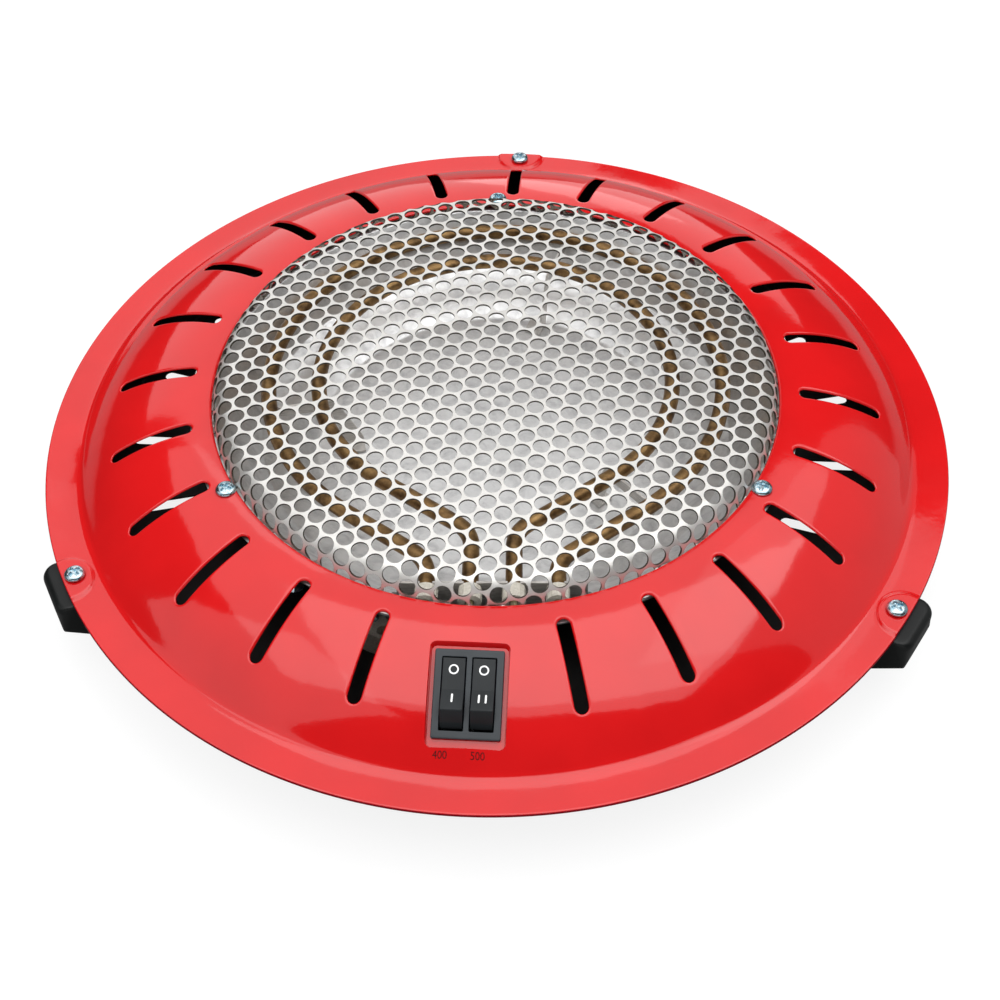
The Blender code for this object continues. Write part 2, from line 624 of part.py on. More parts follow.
def build_bracket(mat, unit):
    """Angle plate that closes the reflector's window, carries the tube ends and is screwed to the ring."""
    web_low = BOWL_RING_Z
    web_high = BOWL_RIM_Z - 2 * SHEET - SEAT_GAP
    front = WEB_Y - BRACKET_SHEET / 2
    half = BRACKET_WIDTH / 2
    bm = bmesh.new()
    add_prism(bm, [(-half, front), (half, front), (half, front + BRACKET_SHEET), (-half, front + BRACKET_SHEET)],
              web_low, web_high)
    bracket = add_object("element_bracket", finish_mesh("element_bracket", bm), mat, unit)
    lift = SEAT_GAP + SHEET / 2
    skin = offset_line([(front, BOWL_RING_Z + (-BOWL_RING_R - front) * BOWL_WALL_DROP / BOWL_WALL_RUN),
                        (-BOWL_RING_R, BOWL_RING_Z), foot_tip()], lift)
    upper = offset_line(skin, BRACKET_SHEET)
    bm = bmesh.new()
    side_on = Matrix(((0, 0, 1, 0), (1, 0, 0, 0), (0, 1, 0, 0), (0, 0, 0, 1)))
    foot_half = BRACKET_FOOT_WIDTH / 2
    add_prism(bm, skin + list(reversed(upper)), -foot_half, foot_half, side_on)
    cut(bracket, add_cutter("bracket_foot_form", bm, unit), "UNION")
    bm = bmesh.new()
    upright = Matrix.Rotation(math.radians(90.0), 4, "X")
    for lead_x in (-OUTER_LEAD_X, -INNER_LEAD_X, INNER_LEAD_X, OUTER_LEAD_X):
        shift = Matrix.Translation((lead_x, WEB_Y, LOOP_Z))
        add_prism(bm, polygon(TUBE_R + HOLE_CLEAR, SCREW_STEPS), -OVERRUN / 2, OVERRUN / 2, shift @ upright)
    add_prism(bm, polygon(SCREW_R + HOLE_CLEAR, SCREW_STEPS), 0, OVERRUN, ring_frame())
    cut(bracket, add_cutter("bracket_holes", bm, unit))
    return bracket


def foot_tip():
    """Inner end of the bracket's foot, on the ring's skin, as (y, z)."""
    share = BRACKET_FOOT_LENGTH / math.hypot(BOWL_RING_RUN, BOWL_RING_DROP)
    return BOWL_RING_RUN * share - BOWL_RING_R, BOWL_RING_Z - BOWL_RING_DROP * share


def build_combs(mat, unit):
    """Thin upright supports with two saddles, seen edge-on from above."""
    floor = BOWL_FLOOR_Z + SEAT_GAP
    saddle_r = TUBE_R + SEAT_GAP
    arm_low = LOOP_Z - saddle_r - COMB_ARM_T
    arm_high = LOOP_Z - TUBE_R / 4
    foot_in = INNER_LOOP_R - COMB_FOOT_IN
    foot_out = foot_in + COMB_FOOT_LENGTH
    outline = [(foot_in, floor), (foot_out, floor), (INNER_LOOP_R - saddle_r, arm_low),
               (OUTER_LOOP_R + saddle_r / 4, arm_low), (OUTER_LOOP_R + saddle_r / 4, arm_high),
               (INNER_LOOP_R - saddle_r - COMB_ARM_T, arm_high), (foot_in, floor + COMB_ARM_T)]
    upright = Matrix.Rotation(math.radians(90.0), 4, "X")
    half = COMB_SHEET / 2
    bm = bmesh.new()
    add_prism(bm, outline, -half, half, upright)
    comb_mesh = finish_mesh("element_comb", bm)
    for name, angle in zip(("right", "back", "left"), COMB_DEGS):
        frame = add_empty(f"comb_{name}_place", unit, (0, LOOP_OFFSET, 0), (0, 0, math.radians(angle - 90.0)))
        comb = add_object(f"element_comb_{name}", comb_mesh, mat, frame)
        bm = bmesh.new()
        add_prism(bm, [(foot_in, -half), (foot_out, -half), (foot_out, COMB_TAB_WIDTH), (foot_in, COMB_TAB_WIDTH)],
                  floor, floor + COMB_SHEET)
        cut(comb, add_cutter(f"comb_tab_{name}", bm, frame), "UNION")
        bm = bmesh.new()
        for loop_r in (INNER_LOOP_R, OUTER_LOOP_R):
            saddle = Matrix.Translation((loop_r, 0, LOOP_Z)) @ upright
            add_prism(bm, polygon(saddle_r / math.cos(math.pi / SCREW_STEPS), SCREW_STEPS), -OVERRUN, OVERRUN, saddle)
        cut(comb, add_cutter(f"comb_saddles_{name}", bm, frame))


def screw_profile(shank_r, head_r, head_h, length):
    """Pan head on a plain shank, with the seat at height zero."""
    return [(0, head_h), (head_r * 0.55, head_h * 0.9), (head_r * 0.9, head_h * 0.55), (head_r, 0),
            (shank_r, 0), (shank_r, -length), (0, -length)]


def add_nut(name, hexagon, bore, mat, frame):
    nut = add_object(name, hexagon, mat, frame)
    cut(nut, add_object(f"{name}_bore", bore, parent=frame))


def build_fasteners(mat, unit):
    screw = turned_mesh("unit_screw", screw_profile(SCREW_R, SCREW_HEAD_R, SCREW_HEAD_H, UNIT_SCREW_LENGTH), SCREW_STEPS)
    foot_screw = turned_mesh("foot_screw", screw_profile(SCREW_R, SCREW_HEAD_R, SCREW_HEAD_H, FOOT_SCREW_LENGTH),
                             SCREW_STEPS)
    hexagon = prism_mesh("nut", polygon(NUT_FLAT_R / math.cos(math.pi / 6), 6), -NUT_H, 0)
    bore = prism_mesh("nut_bore", polygon(SCREW_R + SEAT_GAP, SCREW_STEPS), -NUT_H - OVERRUN, OVERRUN)
    head_z = dome_z(UNIT_SCREW_R - SCREW_HEAD_R)
    head_z = max(head_z, dome_z(UNIT_SCREW_R), dome_z(UNIT_SCREW_R + SCREW_HEAD_R))
    for side, angle in zip(("right", "back", "left"), FOOT_DEGS):
        x, y = around(angle, UNIT_SCREW_R).translation.xy
        add_object(f"grille_screw_{side}", screw, mat, unit, (x, y, head_z + SEAT_GAP))
        nut_z = BOWL_RIM_Z - SHEET - SEAT_GAP
        frame = add_empty(f"grille_nut_{side}_place", unit, (x, y, nut_z), (0, 0, math.radians(angle)))
        add_nut(f"grille_nut_{side}", hexagon, bore, mat, frame)
        x, y = around(angle, FOOT_SCREW_R).translation.xy
        add_object(f"foot_screw_{side}", foot_screw, mat, None, (x, y, RIM_Z + PAD_RISE + SEAT_GAP))
    on_ring = ring_frame()
    head_lift = SEAT_GAP + SHEET / 2 + BRACKET_SHEET + SEAT_GAP
    frame = add_empty("bracket_screw_place", unit)
    frame.matrix_local = on_ring @ Matrix.Translation((0, 0, head_lift))
    add_object("bracket_screw", screw, mat, frame)
    frame = add_empty("bracket_nut_place", unit)
    frame.matrix_local = on_ring @ Matrix.Translation((0, 0, -SHEET - SEAT_GAP))
    add_nut("bracket_nut", hexagon, bore, mat, frame)
    x, y = around(EARTH_DEG, FITTING_R).translation.xy
    add_object("earth_screw", screw, mat, None, (x, y, PAN_FLOOR_Z + SEAT_GAP))
    frame = add_empty("earth_nut_place", None, (x, y, PAN_FLOOR_Z - SHEET - SEAT_GAP))
    add_nut("earth_nut", hexagon, bore, mat, frame)


def build_pan(mat):
    """Black base pan: flange under the cover's rim, sloping wall and a vented floor."""
    line = [(PAN_FLOOR_R, PAN_FLOOR_Z), (CREASE_R, PAN_TOP_Z), (PAN_OUT_R, PAN_TOP_Z)]
    under = offset_line(line, -SHEET)
    profile = [(0, PAN_FLOOR_Z)] + line + [(PAN_OUT_R, PAN_TOP_Z - SHEET)] + list(reversed(under[:-1]))
    profile += [(0, PAN_FLOOR_Z - SHEET)]
    pan = add_object("base_pan", turned_mesh("base_pan", profile), mat)
    pitch = 360.0 / SLOT_PITCHES
    vents = [pitch * index for index in range(SLOT_PITCHES) if pitch * index not in FOOT_DEGS]
    low = PAN_FLOOR_Z - SHEET - OVERRUN
    cut(pan, slot_cutter("pan_slots", vents, SLOT_IN_R, SLOT_OUT_R, low, PAN_FLOOR_Z + OVERRUN))
    cut(pan, hole_cutter("pan_foot_holes", FOOT_DEGS, FOOT_SCREW_R, SCREW_R + HOLE_CLEAR,
                         PAN_TOP_Z - OVERRUN, PAN_TOP_Z + OVERRUN))
    bm = bmesh.new()
    add_prism(bm, polygon(SCREW_R + HOLE_CLEAR, SCREW_STEPS), low, PAN_FLOOR_Z + OVERRUN, around(EARTH_DEG, FITTING_R))
    add_prism(bm, polygon(SMALL_SCREW_R + HOLE_CLEAR, SCREW_STEPS), low, PAN_FLOOR_Z + OVERRUN,
              around(BLOCK_DEG, FITTING_R))
    add_prism(bm, polygon(GROMMET_NECK_R + HOLE_CLEAR, SCREW_STEPS), -OVERRUN, OVERRUN, grommet_frame())
    cut(pan, add_cutter("pan_fitting_holes", bm))
    return pan


def grommet_frame():
    """Frame on the pan's sloping wall, with +Z along the wall's outward normal."""
    run = CREASE_R - PAN_FLOOR_R
    lean = math.atan2(run, PAN_DEPTH)
    middle = (CREASE_R + PAN_FLOOR_R) / 2
    height = (PAN_TOP_Z + PAN_FLOOR_Z) / 2 - SHEET / 2
    return around(GROMMET_DEG, middle, height) @ Matrix.Rotation(-math.pi / 2 - lean, 4, "X")


def build_grommet(mat):
    bore, neck, flange, side = GROMMET_BORE_R, GROMMET_NECK_R, GROMMET_FLANGE_R, GROMMET_FLANGE_T
    half = SHEET / 2 + SEAT_GAP
    profile = [(bore, -half - side), (neck, -half - side), (flange, -half), (neck, -half), (neck, half),
               (flange, half), (flange - side / 2, half + side), (bore, half + side)]
    bm = bmesh.new()
    add_turned(bm, profile, SCREW_STEPS + 4, grommet_frame())
    return add_object("cord_grommet", finish_mesh("cord_grommet", bm), mat)


def build_feet(mat):
    """Moulded feet: a plate under the rim, a grip lip outside it and a leg sloping in to the base."""
    base_out = FOOT_OUT_R - FOOT_BASE_OUT
    base_in = base_out - FOOT_BASE_LENGTH
    under_pan = PAN_FLOOR_Z - SHEET - SEAT_GAP
    side = [(CREASE_R + FOOT_WALL_CLEAR, FOOT_TOP_Z), (FOOT_OUT_R, FOOT_TOP_Z),
            (FOOT_OUT_R - FOOT_DRAFT, FOOT_TOP_Z - FOOT_LIP_H), (base_out, 0), (base_in, 0), (base_in, under_pan),
            (PAN_FLOOR_R + FOOT_WALL_CLEAR, under_pan)]
    upright = Matrix(((0, 0, 1, 0), (1, 0, 0, 0), (0, 1, 0, 0), (0, 0, 0, 1)))
    bm = bmesh.new()
    add_prism(bm, side, -FOOT_WIDTH, FOOT_WIDTH, upright)
    foot_mesh = finish_mesh("foot", bm)
    plan_length = FOOT_OUT_R - base_in + FOOT_CORNER_R
    for name, angle in zip(("right", "back", "left"), FOOT_DEGS):
        turn = (0, 0, math.radians(angle + 180.0))
        foot = add_object(f"foot_{name}", foot_mesh, mat, None, (0, 0, 0), turn)
        bm = bmesh.new()
        add_prism(bm, rounded_rectangle(FOOT_WIDTH, 2 * plan_length, FOOT_CORNER_R), -OVERRUN, RIM_Z,
                  Matrix.Translation((0, FOOT_OUT_R - plan_length, 0)))
        plan = add_cutter(f"foot_plan_{name}", bm)
        plan.rotation_euler = turn
        cut(foot, plan, "INTERSECT")
        bm = bmesh.new()
        add_prism(bm, polygon(SCREW_R + SEAT_GAP, SCREW_STEPS), RIM_Z - FOOT_SCREW_LENGTH - SEAT_GAP, RIM_Z,
                  around(angle, FOOT_SCREW_R))
        cut(foot, add_cutter(f"foot_bore_{name}", bm))


def rocker_outline():
    """Side view about the pivot, in the middle position: a shallow V of two faces, slanted ends and a keel."""
    swing = math.radians(ROCKER_SWING_DEG / 2)
    flush_z = ROCKER_PIVOT_DEPTH + ROCKER_PROUD
    tip = Matrix.Rotation(swing, 2) @ Vector((ROCKER_LENGTH / 2 - ROCKER_TIP_INSET, flush_z))
    skirt = (ROCKER_LENGTH / 2 - ROCKER_SKIRT / 8, ROCKER_SKIRT)
    keel = (ROCKER_LENGTH / 2 * 0.6, -ROCKER_KEEL)
    right = [(tip.x, tip.y), skirt, keel]
    return [(0, flush_z / math.cos(swing))] + [(-x, y) for x, y in right] + [(x, y) for x, y in reversed(right)]


def build_switch(body_mat, rocker_mat, spade_mat, switch):
    bm = bmesh.new()
    add_prism(bm, rounded_rectangle(BEZEL_WIDTH, BEZEL_LENGTH, BEZEL_CORNER_R), -BEZEL_H, 0)
    body = add_object("switch_body", finish_mesh("switch_body", bm), body_mat, switch)
    bm = bmesh.new()
    add_prism(bm, rounded_rectangle(HOUSING_WIDTH, HOUSING_LENGTH, BEZEL_CORNER_R), -BEZEL_H - HOUSING_DEPTH,
              -BEZEL_H / 2)
    cut(body, add_cutter("switch_housing_form", bm, switch), "UNION")
    bm = bmesh.new()
    cavity_floor = -BEZEL_H - HOUSING_DEPTH + 2 * HOUSING_WALL
    window_w = ROCKER_WIDTH + 2 * ROCKER_GAP
    window_l = ROCKER_LENGTH + 2 * ROCKER_GAP
    lie_along_x = Matrix.Rotation(math.radians(90.0), 4, "Y")
    for side in (-1, 1):
        middle = Matrix.Translation((side * ROCKER_SPACING / 2, 0, 0))
        add_prism(bm, rounded_rectangle(window_w, window_l, ROCKER_GAP), cavity_floor, OVERRUN, middle)
    cut(body, add_cutter("switch_windows", bm, switch))
    bm = bmesh.new()
    reach = ROCKER_WIDTH / 2 + TRUNNION_LENGTH + SEAT_GAP / 2
    for side in (-1, 1):
        pivot = Matrix.Translation((side * ROCKER_SPACING / 2, 0, -ROCKER_PIVOT_DEPTH))
        add_prism(bm, polygon(TRUNNION_R + SEAT_GAP, SCREW_STEPS), -reach, reach, pivot @ lie_along_x)
    cut(body, add_cutter("switch_pivot_holes", bm, switch))

    bm = bmesh.new()
    side_on = Matrix(((0, 0, 1, 0), (1, 0, 0, 0), (0, 1, 0, 0), (0, 0, 0, 1)))
    add_prism(bm, rocker_outline(), -ROCKER_WIDTH / 2, ROCKER_WIDTH / 2, side_on)
    rocker_mesh = finish_mesh("rocker", bm)
    trunnion = prism_mesh("trunnion", polygon(TRUNNION_R, SCREW_STEPS),
                          -ROCKER_WIDTH / 2 - TRUNNION_LENGTH, ROCKER_WIDTH / 2 + TRUNNION_LENGTH)
    rest = -math.radians(ROCKER_SWING_DEG / 2)
    for name, side in (("left", -1), ("right", 1)):
        pivot = (side * ROCKER_SPACING / 2, 0, -ROCKER_PIVOT_DEPTH)
        rocker = add_object(f"rocker_{name}", rocker_mesh, rocker_mat, switch, pivot, (rest, 0, 0))
        cut(rocker, add_object(f"trunnion_form_{name}", trunnion, parent=switch, location=pivot,
                               rotation=(0, math.pi / 2, 0)), "UNION")

    bottom = -BEZEL_H - HOUSING_DEPTH - SEAT_GAP
    spade = prism_mesh("switch_spade", rounded_rectangle(SPADE_WIDTH, SPADE_T, SPADE_T / 4, 1),
                       bottom - SPADE_LENGTH, bottom)
    spade_y = HOUSING_LENGTH / 2 - SPADE_INSET
    for name, side in (("left", -1), ("right", 1)):
        for end, shift in (("out", -spade_y), ("in", spade_y)):
            add_object(f"switch_spade_{name}_{end}", spade, spade_mat, switch,
                       (side * ROCKER_SPACING / 2, shift, 0))


def build_terminal_block(mat, screw_mat):
    """Two-pole block on the pan's floor, with a fixing screw between its poles."""
    place = around(BLOCK_DEG, FITTING_R).translation
    turn = (0, 0, math.radians(BLOCK_DEG + 180.0))
    low = PAN_FLOOR_Z + SEAT_GAP
    outline = rounded_rectangle(BLOCK_LENGTH, BLOCK_WIDTH, BEZEL_CORNER_R)
    block = add_object("terminal_block", prism_mesh("terminal_block", outline, low, low + BLOCK_H), mat, None,
                       (place.x, place.y, 0), turn)
    bm = bmesh.new()
    pole_pitch = BLOCK_LENGTH / BLOCK_POLES
    for pole in range(BLOCK_POLES):
        x = pole_pitch * (pole - (BLOCK_POLES - 1) / 2)
        for side in (-1, 1):
            add_prism(bm, polygon(BLOCK_FUNNEL_R, SCREW_STEPS // 2 + 2), low + BLOCK_H / 3, low + BLOCK_H + OVERRUN,
                      Matrix.Translation((x, side * BLOCK_WIDTH / 4, 0)))
    add_prism(bm, polygon(SMALL_SCREW_R + HOLE_CLEAR, SCREW_STEPS), low - OVERRUN, low + BLOCK_H + OVERRUN)
    funnels = add_cutter("block_funnels", bm)
    funnels.location = (place.x, place.y, 0)
    funnels.rotation_euler = turn
    cut(block, funnels)
    screw = turned_mesh("block_screw", screw_profile(SMALL_SCREW_R, SMALL_SCREW_HEAD_R, SMALL_SCREW_HEAD_H,
                                                     BLOCK_H + SMALL_SCREW_LENGTH), SCREW_STEPS)
    add_object("block_screw", screw, screw_mat, None, (place.x, place.y, low + BLOCK_H + SEAT_GAP))


def main():
    clear_scene()
    enamel = material("red_enamel", (0.72, 0.012, 0.014), 0.12, 0.0)
    bright = material("bright_plated_steel", (0.78, 0.77, 0.74), 0.25, 1.0)
    mirror = material("aluminised_steel", (0.80, 0.80, 0.80), 0.16, 1.0)
    sheath = material("heated_steel_sheath", (0.19, 0.12, 0.06), 0.42, 0.8)
    black_steel = material("black_painted_steel", (0.012, 0.012, 0.013), 0.40, 0.0)
    black_plastic = material("black_moulded_plastic", (0.014, 0.015, 0.016), 0.38, 0.0)
    grey_plastic = material("dark_grey_nylon", (0.045, 0.050, 0.054), 0.35, 0.0)
    rocker_plastic = material("rocker_nylon", (0.028, 0.030, 0.032), 0.32, 0.0)
    zinc = material("zinc_plated_steel", (0.66, 0.69, 0.72), 0.25, 1.0)
    ceramic = material("white_ceramic", (0.80, 0.78, 0.73), 0.45, 0.0)
    brass = material("tinned_brass", (0.66, 0.62, 0.50), 0.30, 1.0)
    rubber = material("black_rubber", (0.02, 0.02, 0.02), 0.60, 0.0)

    unit = add_empty("heater_unit", rotation=(0, 0, math.radians(UNIT_TURN_DEG)))
    middle_r, middle_z, tilt = switch_frame_values()
    switch = add_empty("switch_frame", None, (0, -middle_r, middle_z), (tilt, 0, 0))

    build_cover(enamel, unit, switch)
    build_grille(bright, unit)
    build_reflector(mirror, unit)
    build_element("inner_element", sheath, unit, INNER_LOOP_R, INNER_LEAD_X)
    build_element("outer_element", sheath, unit, OUTER_LOOP_R, OUTER_LEAD_X)
    build_terminals(ceramic, brass, unit)
    build_bracket(bright, unit)
    build_combs(bright, unit)
    build_fasteners(zinc, unit)
    build_pan(black_steel)
    build_grommet(rubber)
    build_feet(black_plastic)
    build_switch(grey_plastic, rocker_plastic, brass, switch)
    build_terminal_block(ceramic, zinc)


main()
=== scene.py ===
import math

import bpy
import numpy as np
from mathutils import Matrix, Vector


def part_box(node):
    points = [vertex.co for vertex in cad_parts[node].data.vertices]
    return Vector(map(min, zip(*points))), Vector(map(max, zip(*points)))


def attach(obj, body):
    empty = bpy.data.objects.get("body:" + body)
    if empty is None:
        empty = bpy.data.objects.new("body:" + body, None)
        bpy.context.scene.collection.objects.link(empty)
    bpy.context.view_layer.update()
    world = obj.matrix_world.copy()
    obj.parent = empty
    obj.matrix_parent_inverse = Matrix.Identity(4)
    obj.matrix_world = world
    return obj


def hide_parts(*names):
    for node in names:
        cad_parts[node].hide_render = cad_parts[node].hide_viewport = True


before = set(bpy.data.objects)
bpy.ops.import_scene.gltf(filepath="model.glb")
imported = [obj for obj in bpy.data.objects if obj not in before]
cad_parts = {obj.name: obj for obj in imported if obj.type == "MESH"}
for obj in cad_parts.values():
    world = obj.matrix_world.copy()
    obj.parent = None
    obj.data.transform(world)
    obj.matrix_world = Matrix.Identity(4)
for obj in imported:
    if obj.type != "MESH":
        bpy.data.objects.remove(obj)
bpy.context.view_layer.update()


# Base pan. A shallow tray of mild steel, pressed, punched with the same radial slots as the cover and
# painted black. Its flange is clamped under the cover's rim by the three foot screws.
SECTORS = 24
SLOT_WIDTH = 0.0052
SLOT_IN_R = 0.1256
SLOT_OUT_R = 0.1600
SHEET = 0.0008
SIDE_STEPS = 20
END_STEPS = 12
PAD_SECTORS = (4, 12, 20)
PAD_STEPS = 48
PAD_SHARE, PAD_STEP_SHARE = 0.52, 0.83
PAN_BAND_IN_R, PAN_BAND_OUT_R = 0.1210, 0.1640
PAN_FOOT_R, PAN_RIM_R = 0.1681, 0.1751
PAN_BEND_RADII = (0.0012, 0.0020)
PAN_SLOT_ROLL = 0.0006


def weld(points, faces):
    """Join points that lie at the same place, to a hundredth of a millimetre, and renumber the faces."""
    keys = np.round(points / 1e-5).astype(np.int64)
    _, first, place = np.unique(keys, axis=0, return_index=True, return_inverse=True)
    return points[first], place.reshape(-1)[faces]


def loop_faces(rings, count):
    """Quads between neighbouring rings of a grid whose rows are closed loops of count points."""
    ring, step = np.meshgrid(np.arange(rings - 1), np.arange(count), indexing="ij")
    follow = (step + 1) % count
    return np.stack([ring * count + step, ring * count + follow,
                     (ring + 1) * count + follow, (ring + 1) * count + step], -1).reshape(-1, 4)


def patch_faces(rows, columns):
    """Quads of an open grid of rows by columns points."""
    row, column = np.meshgrid(np.arange(rows - 1), np.arange(columns - 1), indexing="ij")
    corner = row * columns + column
    return np.stack([corner, corner + 1, corner + columns + 1, corner + columns], -1).reshape(-1, 4)


def put_mesh(name, points, faces, material, wall=0.0, smooth_deg=40.0, sheared=None):
    """Make an object of the points and quads, give it a wall if asked, and shade it smooth but for its
    edges. Points may be marked for painted shade at an edge, for the material to read."""
    mesh = bpy.data.meshes.new(name)
    corners = [tuple(dict.fromkeys(face)) for face in faces.tolist()]
    mesh.from_pydata(np.asarray(points).tolist(), [], corners)
    mesh.validate()
    if sheared is not None:
        mesh.attributes.new("sheared", "FLOAT", "POINT").data.foreach_set("value", sheared)
    piece = bpy.data.objects.new(name, mesh)
    bpy.context.scene.collection.objects.link(piece)
    if wall:
        sheet = piece.modifiers.new("sheet", "SOLIDIFY")
        sheet.thickness = wall
        sheet.offset = -1.0
        bpy.context.view_layer.update()
        shown = piece.evaluated_get(bpy.context.evaluated_depsgraph_get())
        walled = bpy.data.meshes.new_from_object(shown)
        piece.modifiers.remove(sheet)
        piece.data = walled
    piece.data.shade_smooth()
    piece.data.set_sharp_from_angle(angle=math.radians(smooth_deg))
    piece.data.materials.clear()
    piece.data.materials.append(material)
    return piece


def turned_out(points, faces):
    """Turn every quad so that its normal points up, by the sign of its plan area."""
    a, b, c, d = (points[faces[:, corner]] for corner in range(4))
    area = np.cross(c[:, :2] - a[:, :2], d[:, :2] - b[:, :2])
    return np.where(area[:, None] < 0, faces[:, ::-1], faces)


def ring_plan(radius, angles):
    """Plan points at a radius, with angles counted from the switch at -Y towards +X."""
    return np.stack([radius * np.sin(angles), -radius * np.cos(angles)], -1)


def arc_turns(index):
    """Angles across a sector's outer arc, even but for the sectors of the foot screws, where most of them
    lie within the pressed pad."""
    half = math.pi / SECTORS
    if index not in PAD_SECTORS:
        return np.linspace(-half, half, END_STEPS + 1)
    return half * np.interp(np.linspace(-1, 1, PAD_STEPS + 1), [-1, -PAD_STEP_SHARE, PAD_STEP_SHARE, 1],
                            [-1, -PAD_SHARE, PAD_SHARE, 1])


def sector_outline(inner_r, outer_r, far_turns):
    """Corner points of one sector in its own plan frame (across, outwards), in order round its edge:
    inner arc, side, outer arc, side. Each side leaves out its last point, which is the next one's first."""
    half = math.pi / SECTORS
    turn = np.linspace(-half, half, END_STEPS + 1)[:-1]
    back = far_turns[:0:-1]
    rise = np.linspace(inner_r, outer_r, SIDE_STEPS + 1)[:-1]
    fall = np.linspace(outer_r, inner_r, SIDE_STEPS + 1)[:-1]
    return np.concatenate([
        np.stack([inner_r * np.sin(turn), inner_r * np.cos(turn)], -1),
        np.stack([rise * math.sin(half), rise * math.cos(half)], -1),
        np.stack([outer_r * np.sin(back), outer_r * np.cos(back)], -1),
        np.stack([-fall * math.sin(half), fall * math.cos(half)], -1)])


def slot_loop(grow, far_steps):
    """Edge of a slot with round ends, grown outwards by a margin: half circles joined by straight sides."""
    radius = SLOT_WIDTH / 2
    near = np.pi * np.linspace(-1, 0, END_STEPS + 1)[:-1]
    far = np.pi * np.linspace(0, 1, far_steps + 1)[:-1]
    share = np.linspace(0, 1, SIDE_STEPS + 1)[:-1]
    low, high = SLOT_IN_R + radius, SLOT_OUT_R - radius
    wide = radius + grow
    return np.concatenate([
        np.stack([wide * np.cos(near), low + wide * np.sin(near)], -1),
        np.stack([wide + 0 * share, low + (high - low) * share], -1),
        np.stack([wide * np.cos(far), high + wide * np.sin(far)], -1),
        np.stack([-wide + 0 * share, high - (high - low) * share], -1)])


def opened_sector(loops, outline, layers):
    """Closed loops round an opening, then layers that blend evenly from the last loop to the outline."""
    share = np.linspace(0, 1, layers + 1)[1:, None, None]
    return np.concatenate([np.stack(loops), loops[-1] * (1 - share) + outline * share])


def plain_sector(inner_r, outer_r, far_turns):
    """Patch whose rows run from the inner arc to the outer arc, and meet the neighbouring sectors' edges."""
    near = np.interp(np.linspace(0, 1, len(far_turns)), np.linspace(0, 1, END_STEPS + 1),
                     np.linspace(-math.pi / SECTORS, math.pi / SECTORS, END_STEPS + 1))
    share = np.linspace(0, 1, SIDE_STEPS + 1)[:, None]
    turn = near * (1 - share) + far_turns * share
    radius = inner_r + (outer_r - inner_r) * share
    return np.stack([radius * np.sin(turn), radius * np.cos(turn)], -1)


def placed(sector, index):
    """Turn plan points from a sector's own frame to the whole disc."""
    turn = math.tau * index / SECTORS
    across = np.array([math.cos(turn), math.sin(turn)])
    outwards = np.array([math.sin(turn), -math.cos(turn)])
    return sector[..., :1] * across + sector[..., 1:] * outwards


def joined(*parts):
    """Points and quads of several parts, one after another, with the quads renumbered."""
    starts = np.cumsum([0] + [len(points) for points, _ in parts[:-1]])
    quads = [part_quads + start for (_, part_quads), start in zip(parts, starts)]
    return np.concatenate([points for points, _ in parts]), np.concatenate(quads)


def slotted_disc(inner_r, outer_r, closed_sectors, roll, front=None):
    """Plan points and quads of a ring of sectors, each with a slot unless it is closed, and how far each
    point is from its slot's edge. A front sector may be given ready made."""
    parts, edges = [], []
    grows = roll * np.array([0, 0.08, 0.25, 0.5, 0.8, 1.15, 1.8])
    for index in range(SECTORS):
        turns = arc_turns(index)
        slotted = index not in closed_sectors and (index or front is None)
        if slotted:
            loops = [slot_loop(grow, len(turns) - 1) for grow in grows]
            sector = opened_sector(loops, sector_outline(inner_r, outer_r, turns), 5)
        elif index in closed_sectors:
            sector = plain_sector(inner_r, outer_r, turns)
        else:
            sector = front
        lay_quads = patch_faces if index in closed_sectors else loop_faces
        parts.append((placed(sector, index).reshape(-1, 2), lay_quads(*sector.shape[:2])))
        edge = np.full(sector.shape[:2], 1.0)
        if slotted:
            edge[:len(grows)] = grows[:, None]
        edges.append(edge.reshape(-1))
    return (*joined(*parts), np.concatenate(edges))


def full_rings(radii, fine=False):
    """Plan points and quads of whole rings, whose columns meet the sectors' inner or outer arcs."""
    even = np.linspace(-math.pi / SECTORS, math.pi / SECTORS, END_STEPS + 1)
    angles = np.concatenate([math.tau * index / SECTORS + (arc_turns(index) if fine else even)[:-1]
                             for index in range(SECTORS)])
    plan = ring_plan(np.asarray(radii)[:, None], angles)
    return plan.reshape(-1, 2), loop_faces(len(radii), len(angles)), len(angles)


def arc_between(start, corner, end, radius, steps=6):
    """Round the corner of a line of (radius, height) points with an arc that touches both legs."""
    start, corner, end = (np.asarray(point, float) for point in (start, corner, end))
    first = (start - corner) / np.linalg.norm(start - corner)
    second = (end - corner) / np.linalg.norm(end - corner)
    half = math.acos(np.clip(first @ second, -1, 1)) / 2
    middle = corner + (first + second) / np.linalg.norm(first + second) * radius / math.sin(half)
    reach = radius / math.tan(half)
    a, b = corner + first * reach - middle, corner + second * reach - middle
    span = math.acos(np.clip(a @ b / radius ** 2, -1, 1))
    share = np.linspace(0, 1, steps + 1)[:, None]
    return middle + (np.sin((1 - share) * span) * a + np.sin(share * span) * b) / math.sin(span)


def filleted(points, radii, steps=6):
    """Round the inner corners of a line of (radius, height) points, each by its own radius."""
    rounded = [np.array([points[0]])]
    for index, radius in enumerate(radii, 1):
        rounded.append(arc_between(points[index - 1], points[index], points[index + 1], radius, steps))
    return np.concatenate(rounded + [np.array([points[-1]])])


def hex_rgb(code):
    """Linear colour of an sRGB hex code, with an alpha of one."""
    srgb = np.array([int(code[i:i + 2], 16) for i in (1, 3, 5)]) / 255
    linear = np.where(srgb <= 0.04045, srgb / 12.92, ((srgb + 0.055) / 1.055) ** 2.4)
    return (*linear.tolist(), 1.0)


